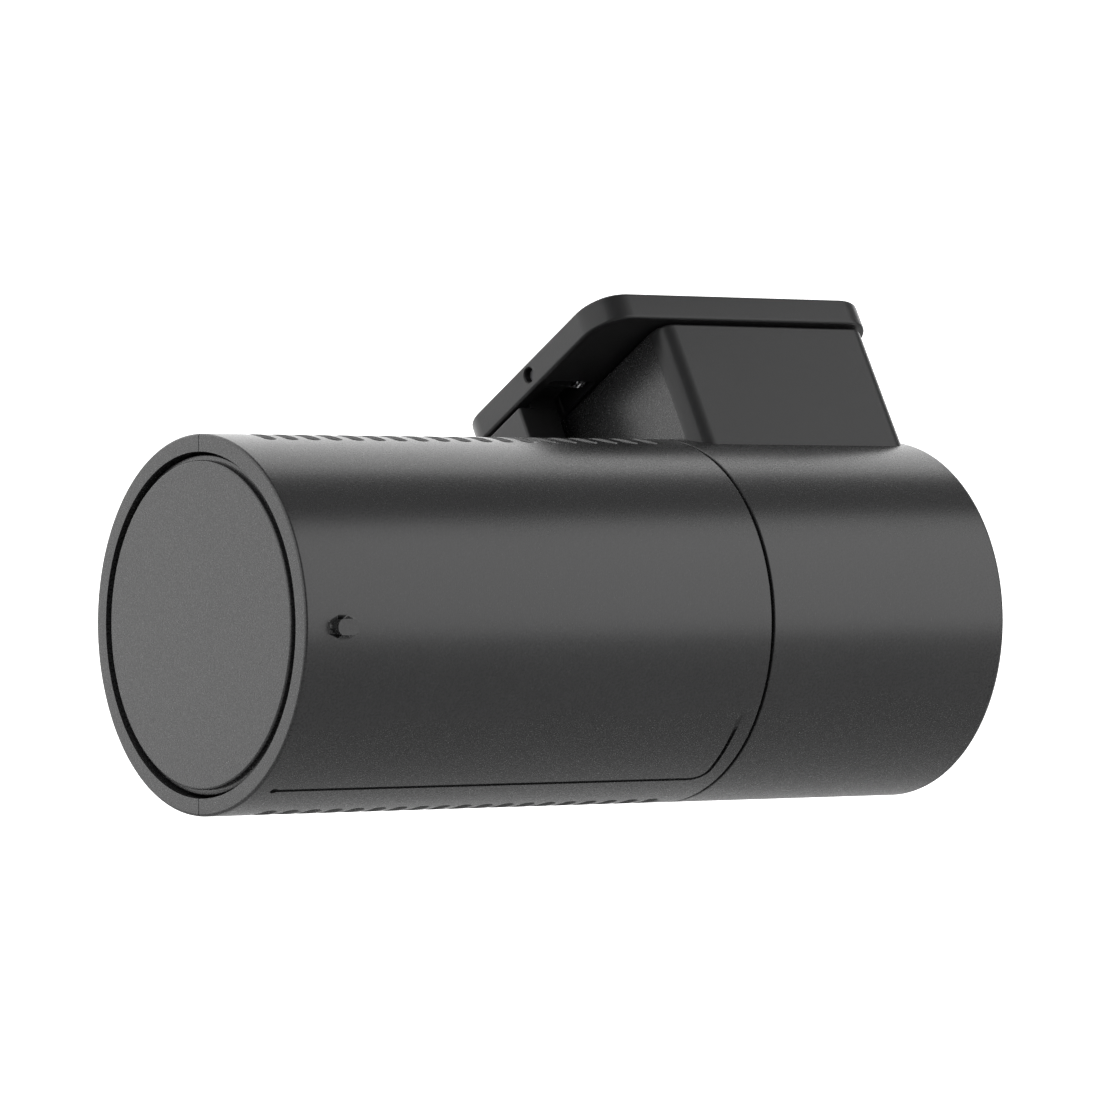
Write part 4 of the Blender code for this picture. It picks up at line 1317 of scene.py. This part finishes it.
@dataclass
class MountSection:
    """The right part of the tube, its pedestal, and the plate with the two sockets."""

    layout: Layout
    finishes: Finishes
    wall: float = 1.7
    web_x: float = 0.6
    web: float = 2.0
    web_bore: float = 7.3
    pedestal_low: tuple[float, float] = (56.5, -12.4)
    pedestal_high: tuple[float, float] = (83.2, 11.4)
    pedestal_top: float = 27.1
    pedestal_corner: float = 2.0
    rail_x: float = 69.85
    slot_near: float = -8.9
    stem_half: float = 3.8
    head_half: float = 5.8
    head_low: float = 22.95
    head_top: float = 25.25
    plate_thickness: float = 1.8
    post_z: float = 11.4
    seated: float = 16.0

    def build_housing(self) -> None:
        """Turns the tube, joins the pedestal to it, and cuts the slot for the bracket's rail."""
        start = self.layout.mount_start
        end = self.layout.length
        r = self.layout.radius
        inner = r - self.wall
        web = start + self.web_x
        rings: list[Ring] = [(start, inner), (start, r - 0.16), (start + 0.05, r - 0.05)]
        rings += [(start + 0.16, r), (end - 0.5, r), (end - 0.28, r - 0.06)]
        rings += [(end - 0.1, r - 0.18), (end, r - 0.45), (end, inner + 0.1), (end - 0.1, inner)]
        rings += [(web + self.web, inner), (web + self.web, self.web_bore)]
        rings += [(web, self.web_bore), (web, inner)]
        housing = lathe("mount_casing", rings, Axis.X, steps=192, closed=True)
        seat_turn = Matrix.Rotation(-self.layout.rake, 4, "X")
        pedestal = box(
            "pedestal",
            (*self.pedestal_low, r / 2),
            (*self.pedestal_high, self.pedestal_top),
        )
        bevel_chosen(pedestal, runs_along(2), self.pedestal_corner, 8)
        bevel_chosen(pedestal, lies_at(2, self.pedestal_top), 0.3, 3)
        pedestal.data.transform(seat_turn)
        saddle = rod("saddle", (start - 5, 0, 0), end - start + 10, r - self.wall / 2, Axis.X, 192)
        cut(pedestal, saddle)
        far = self.pedestal_high[1] + 2
        stem = box(
            "stem",
            (self.rail_x - self.stem_half, self.slot_near, self.head_top - 1),
            (self.rail_x + self.stem_half, far, self.pedestal_top + 3),
        )
        head = box(
            "head",
            (self.rail_x - self.head_half, self.slot_near, self.head_low),
            (self.rail_x + self.head_half, far, self.head_top),
        )
        for cutter in (stem, head):
            cutter.data.transform(seat_turn)
        cut(pedestal, stem, head)
        join(housing, pedestal)
        inner_end = end - self.plate_thickness - 0.3
        for side in (-1, 1):
            heights = sorted((side * (self.post_z - 1.8), side * (inner + 0.6)))
            post = box(
                "post", (inner_end - 8, -1.8, heights[0]), (inner_end, 1.8, heights[1])
            )
            bore = rod("bore", (inner_end - 7, 0, side * self.post_z), 9, 0.9, Axis.X, 24)
            join(housing, post)
            cut(housing, bore)
        smooth(housing, 40)
        plastic = self.finishes.get("satin_casing")
        seat(housing, self.layout.tube, Body.MOUNT, "body_plastic", plastic, "mount_housing")
        repaint(
            housing,
            self.layout.tube,
            self.finishes.get("bracket_casing"),
            lambda spot: math.hypot(spot.y, spot.z) > r + 0.02,
        )

    def build_end(self) -> None:
        """Turns the end plate, with a hole and a marking ring for each socket."""
        end = self.layout.length
        start = end - self.plate_thickness
        plate = lathe(
            "jack_panel",
            [(start, self.seated), (end - 0.15, self.seated), (end, self.seated - 0.15)],
            Axis.X,
            steps=160,
        )
        for node in ("dc_jack", "camera_jack"):
            y, nose = self.nose(node)
            cut(plate, rod("hole", (start - 1, y, 0), self.plate_thickness + 2, nose + 0.3, Axis.X, 64))
            ring = lathe(
                "ring",
                [(end - 0.12, nose + 1.1), (end - 0.12, nose + 1.45), (end + 1, nose + 1.45), (end + 1, nose + 1.1)],
                Axis.X,
                (0, y, 0),
                96,
                closed=True,
            )
            cut(plate, ring)
        for side in (-1, 1):
            spot = (start - 1, 0, side * self.post_z)
            cut(plate, rod("hole", spot, 4, 0.9, Axis.X, 32))
            sink = (end - 1.2, 0, side * self.post_z)
            cut(plate, rod("sink", sink, 3, 1.6, Axis.X, 48))
        smooth(plate, 35)
        plastic = self.finishes.get("satin_casing")
        seat(plate, self.layout.tube, Body.MOUNT, "body_plastic", plastic, "jack_plate")
        steel = self.finishes.get("black_steel")
        for number, side in ((1, -1), (2, 1)):
            low, high = self.layout.span(f"jack_plate_screw_{number}", self.layout.tube)
            spot = (high.x, 0, side * self.post_z)
            screw = cross_screw(f"jack_panel_screw_{number}", spot, low.x - high.x, 1.3, 0.9)
            seat(screw, self.layout.tube, Body.MOUNT, "steel", steel, f"jack_plate_screw_{number}")

    def nose(self, node: str) -> Ring:
        """Returns a socket's place across the plate and its nose's radius."""
        return {"dc_jack": (-6.0, 3.4), "camera_jack": (6.5, 3.15)}[node]

    def build_jack(self, node: str, name: str, bore: float, pin: float) -> None:
        """Models a socket: its body, a nose with an eased mouth, its bore and its pin.

        Args:
            node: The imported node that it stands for.
            name: The new piece's name.
            bore: The bore's radius.
            pin: The centre pin's radius, or 0 for none.
        """
        low, high = self.layout.span(node, self.layout.tube)
        y, nose = self.nose(node)
        half = (high.z - low.z) / 2
        body_end = self.layout.length - self.plate_thickness - 0.3
        body = soft_box(name, (low.x, y - half, -half), (body_end, y + half, half), 0.4, 0, 0.12)
        bottom = high.x - 8.0
        spout = lathe(
            "spout",
            [
                (body_end - 1, nose),
                (high.x - 0.15, nose),
                (high.x, nose - 0.15),
            ],
            Axis.X,
            (0, y, 0),
            64,
        )
        join(body, spout)
        mouth = lathe(
            "mouth",
            [(bottom, bore), (high.x - 0.3, bore), (high.x, bore + 0.3), (high.x + 1, bore + 0.3)],
            Axis.X,
            (0, y, 0),
            64,
        )
        cut(body, mouth)
        if pin:
            stud = lathe(
                "stud",
                [(bottom - 1, pin), (bottom + 5.6, pin), (bottom + 5.9, pin * 0.7), (bottom + 6, pin * 0.3)],
                Axis.X,
                (0, y, 0),
                32,
            )
            join(body, stud)
        smooth(body, 35)
        black = self.finishes.get("black_inner_plastic")
        seat(body, self.layout.tube, Body.MOUNT, "inner_plastic", black, node)

    def build(self) -> None:
        """Models every piece of the mount section."""
        self.build_housing()
        self.build_end()
        self.build_jack("dc_jack", "power_socket", 2.0, 0.5)
        self.build_jack("camera_jack", "rear_camera_socket", 1.75, 0.0)


@dataclass
class Bracket:
    """The plate on the windscreen, its rail, its foam pad, and the lever that locks it."""

    layout: Layout
    finishes: Finishes
    corner: float = 4.0
    edge: float = 0.32
    plate_bottom: float = 27.4
    plate_top: float = 30.3
    rail_x: float = 69.85
    rail_near: float = -8.6
    rail_far: float = 7.9
    stem_half: float = 3.5
    head_half: float = 5.5
    head_thickness: float = 1.7
    stem_depth: float = 2.45
    lever_slot_low: tuple[float, float] = (50.85, -0.55)
    lever_slot_high: tuple[float, float] = (56.51, 6.0)
    pin_y: float = 1.0
    pin_z: float = 29.0
    bore: float = 0.75
    arm_x: tuple[float, float] = (51.15, 54.35)
    tab_near: float = 4.0
    tab_corner: float = 0.35
    tab_top: float = 27.1

    def build_plate(self) -> None:
        """Models the plate with rounded corners, the T rail, the lever's slot and the pin's bore."""
        low, high = self.layout.span("bracket_plate", self.layout.plate)
        plate = box(
            "bracket_body", (low.x, low.y, self.plate_bottom), (high.x, high.y, self.plate_top)
        )
        bevel_chosen(plate, runs_along(2), self.corner, 12)
        bevel_chosen(plate, lies_at(2, self.plate_top), self.edge, 4)
        bevel_chosen(plate, lies_at(2, self.plate_bottom), self.edge, 4)
        stem_low = self.plate_bottom - self.stem_depth
        stem = box(
            "stem",
            (self.rail_x - self.stem_half, self.rail_near, stem_low - 0.8),
            (self.rail_x + self.stem_half, self.rail_far, self.plate_bottom + 1),
        )
        head = soft_box(
            "head",
            (self.rail_x - self.head_half, self.rail_near, stem_low - self.head_thickness),
            (self.rail_x + self.head_half, self.rail_far, stem_low),
            0.8,
            2,
            0.2,
        )
        join(plate, stem, head)
        slot = soft_box(
            "slot",
            (*self.lever_slot_low, self.plate_bottom - 1),
            (*self.lever_slot_high, self.plate_top + 1),
            0.5,
            2,
            0,
        )
        bore = rod("bore", (low.x - 1, self.pin_y, self.pin_z), 10, self.bore, Axis.X, 40)
        mouth = lathe(
            "mouth",
            [(-0.5, self.bore + 0.12), (0.0, self.bore + 0.12), (0.14, self.bore)],
            Axis.X,
            (low.x, self.pin_y, self.pin_z),
            40,
        )
        cut(plate, slot, bore, mouth)
        smooth(plate, 40)
        plastic = self.finishes.get("bracket_casing")
        seat(plate, self.layout.plate, Body.BRACKET, "bracket_plastic", plastic, "bracket_plate")

    def build_pad(self) -> None:
        """Models the foam pad, with soft edges that bulge a little."""
        low, high = self.layout.span("adhesive_pad", self.layout.plate)
        pad = box("foam_pad", low, high)
        bevel_chosen(pad, runs_along(2), 3.2, 10)
        bevel_chosen(pad, lies_at(2, low.z), 0.12, 2)
        smooth(pad)
        foam = self.finishes.get("pad_foam")
        seat(pad, self.layout.plate, Body.BRACKET, "foam_tape", foam, "adhesive_pad")

    def build_lever(self) -> None:
        """Models the lever: an eye round the pin, an arm, and a tab with grip ribs below."""
        low, high = self.layout.span("lock_lever", self.layout.plate)
        arm_x, arm_end = self.arm_x
        y = self.pin_y
        z = self.pin_z
        eye = rod("lever_body", (arm_x, y, z), arm_end - arm_x, 1.25, Axis.X, 48)
        tab_y = self.tab_near
        leg_end = tab_y + 1.4
        arm = box("arm", (arm_x, y + 0.4, z - 0.9), (arm_end, leg_end, z + 1.0))
        leg = box("leg", (arm_x, tab_y + 0.1, self.tab_top - 0.8), (arm_end, leg_end, z + 1.0))
        tab = soft_box(
            "tab", (low.x, tab_y, low.z), (arm_end, high.y, self.tab_top), self.tab_corner, 2, 0.3
        )
        rib = rod("rib", (low.x - 1, tab_y + 2.2, low.z), 12, 0.3, Axis.X, 16)
        repeat(rib, 4, (0, 1.3, 0))
        cut(tab, rib)
        join(eye, arm, leg, tab)
        cut(eye, rod("bore", (arm_x - 1, y, z), 6, self.bore, Axis.X, 40))
        smooth(eye, 35)
        plastic = self.finishes.get("bracket_casing")
        seat(eye, self.layout.plate, Body.LEVER, "bracket_plastic", plastic, "lock_lever")

    def build_pin(self) -> None:
        """Turns the pin with eased ends."""
        low, high = self.layout.span("lock_pin", self.layout.plate)
        radius = (high.y - low.y) / 2
        pin = lathe(
            "lever_pin",
            [
                (low.x, radius - 0.15),
                (low.x + 0.15, radius),
                (high.x - 0.15, radius),
                (high.x, radius - 0.15),
            ],
            Axis.X,
            (0, self.pin_y, self.pin_z),
            40,
        )
        smooth(pin, 50)
        steel = self.finishes.get("black_steel")
        seat(pin, self.layout.plate, Body.BRACKET, "steel", steel, "lock_pin")

    def build(self) -> None:
        """Models every piece of the bracket."""
        self.build_plate()
        self.build_pad()
        self.build_lever()
        self.build_pin()


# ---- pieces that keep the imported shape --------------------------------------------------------


@dataclass
class InnerPieces:
    """The inner pieces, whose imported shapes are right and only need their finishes."""

    finishes: Finishes

    FINISH_OF_SLOT = {
        "inner_plastic": "black_inner_plastic",
        "friction_plastic": "slippery_plastic",
        "circuit_board": "board_laminate",
        "chip_resin": "chip_resin",
        "ceramic": "aerial_ceramic",
        "aluminium": "rolled_aluminium",
        "thermal_gel": "thermal_gel",
        "cable_jacket": "soft_jacket",
        "steel": "bright_steel",
        "lens_glass": "inner_glass",
        "light": "light_die",
        "light_pipe": "frosted_guide",
        "body_plastic": "satin_casing",
        "bracket_plastic": "bracket_casing",
        "bezel_plastic": "gloss_bezel",
        "foam_tape": "pad_foam",
    }

    def build(self) -> None:
        """Dresses every node that nothing has replaced."""
        for entry in frame["record"]["subparts"]:
            material = self.finishes.get(self.FINISH_OF_SLOT[entry["material_slot"]])
            for spot in frame["nodes"][entry["node"]].material_slots:
                spot.material = material
            LOG.info("dressed %s", entry["node"])


# ---- studio -----------------------------------------------------------------------------------


@dataclass
class Studio:
    """The floor, the bright sweep behind, the softbox in front, and the camera."""

    layout: Layout
    camera_at: tuple[float, float, float] = (-314.0, -482.7, 7.8)
    look: tuple[float, float, float] = (0.5924, 0.8056, -0.0013)
    focal: float = 200.37
    sensor: float = 36.0
    floor_z: float = -0.30
    wall_radius: float = 2.0
    wall_height: float = 4.0
    wall_light: float = 1.15
    world_light: float = 0.24

    def pale(self, name: str, colour: Sequence[float], glow: float) -> bpy.types.Material:
        """Makes a pale matt paint.

        Args:
            name: The material's name.
            colour: Its colour.
            glow: How much light it gives.

        Returns:
            The material.
        """
        board = NodeBoard(name)
        cloud = board.noise(0.6, 2.0)
        board.ramp(cloud, [(0.3, shaded(colour, 0.99)), (0.7, colour)])
        board.roughen(cloud, 0.85, 0.95)
        board.shader.inputs["Emission Color"].default_value = (1, 1, 1, 1)
        board.shader.inputs["Emission Strength"].default_value = glow
        return board.material

    def build_stage(self) -> None:
        """Lays the floor and stands the bright sweep round the back and the left."""
        deselect()
        bpy.ops.mesh.primitive_plane_add(size=9, location=(0, 0, self.floor_z))
        floor = named("studio_floor")
        floor.data.materials.append(self.pale("floor_paint", (0.52, 0.52, 0.52), 0.0))
        deselect()
        bpy.ops.mesh.primitive_cylinder_add(
            vertices=144,
            radius=self.wall_radius,
            depth=self.wall_height,
            end_fill_type="NOTHING",
            location=(0, 0, self.floor_z + self.wall_height / 2),
        )
        wall = named("studio_sweep")

        def in_front(centre: Vector, normal: Vector) -> bool:
            """Whether a face of the wall is on the open side."""
            angle = math.degrees(math.atan2(centre.y, centre.x))
            return not 20 < angle % 360 < 215

        pick(wall, "FACE", in_front)
        bpy.ops.mesh.delete(type="FACE")
        leave(wall)
        wall.data.materials.append(self.pale("sweep_paint", (0.8, 0.8, 0.8), self.wall_light))

    def area(self, name: str, spot: Sequence[float], size: Ring, power: float) -> None:
        """Adds a soft area light that faces the object.

        Args:
            name: The light's name.
            spot: Its place, in metres.
            size: Its width and height, in metres.
            power: Its power in watts.
        """
        light = bpy.data.lights.new(name, "AREA")
        light.shape = "RECTANGLE"
        light.size, light.size_y = size
        light.energy = power
        obj = bpy.data.objects.new(name, light)
        obj.location = spot
        aim = Vector((0, 0, -0.03)) - Vector(spot)
        obj.rotation_euler = aim.to_track_quat("-Z", "Y").to_euler()
        bpy.context.scene.collection.objects.link(obj)

    def build_light(self) -> None:
        """Sets the soft room light and hangs the softbox in front on the right."""
        world = bpy.data.worlds.new("studio_air")
        world.use_nodes = True
        background = world.node_tree.nodes["Background"]
        background.inputs["Color"].default_value = (1, 1, 1, 1)
        background.inputs["Strength"].default_value = self.world_light
        bpy.context.scene.world = world
        bpy.context.scene.view_settings.view_transform = "Standard"
        self.area("front_softbox", (0.9, -1.05, 0.52), (1.5, 1.6), 14.5)

    def build_camera(self) -> None:
        """Places the level camera."""
        camera = bpy.data.cameras.new("studio_camera")
        camera.lens = self.focal
        camera.sensor_width = self.sensor
        camera.dof.use_dof = False
        obj = bpy.data.objects.new("studio_camera", camera)
        obj.location = self.layout.tube @ Vector(self.camera_at)
        obj.rotation_euler = Vector(self.look).to_track_quat("-Z", "Y").to_euler()
        bpy.context.scene.collection.objects.link(obj)
        bpy.context.scene.camera = obj

    def build(self) -> None:
        """Builds the whole studio."""
        self.build_stage()
        self.build_light()
        self.build_camera()


def main() -> None:
    """Models and dresses the camera, sub-assembly by sub-assembly, in the studio."""
    logging.basicConfig(level=logging.INFO, format="%(message)s")
    layout = Layout.from_model()
    finishes = Finishes()
    InnerPieces(finishes).build()
    BarrelShells(layout, finishes).build()
    end = BarrelEnd(layout, finishes)
    end.build_cover()
    end.build_pipes()
    CardBay(layout, finishes).build()
    LensUnit(layout, finishes).build()
    MountSection(layout, finishes).build()
    Bracket(layout, finishes).build()
    Studio(layout).build()


if __name__ == "__main__":
    main()
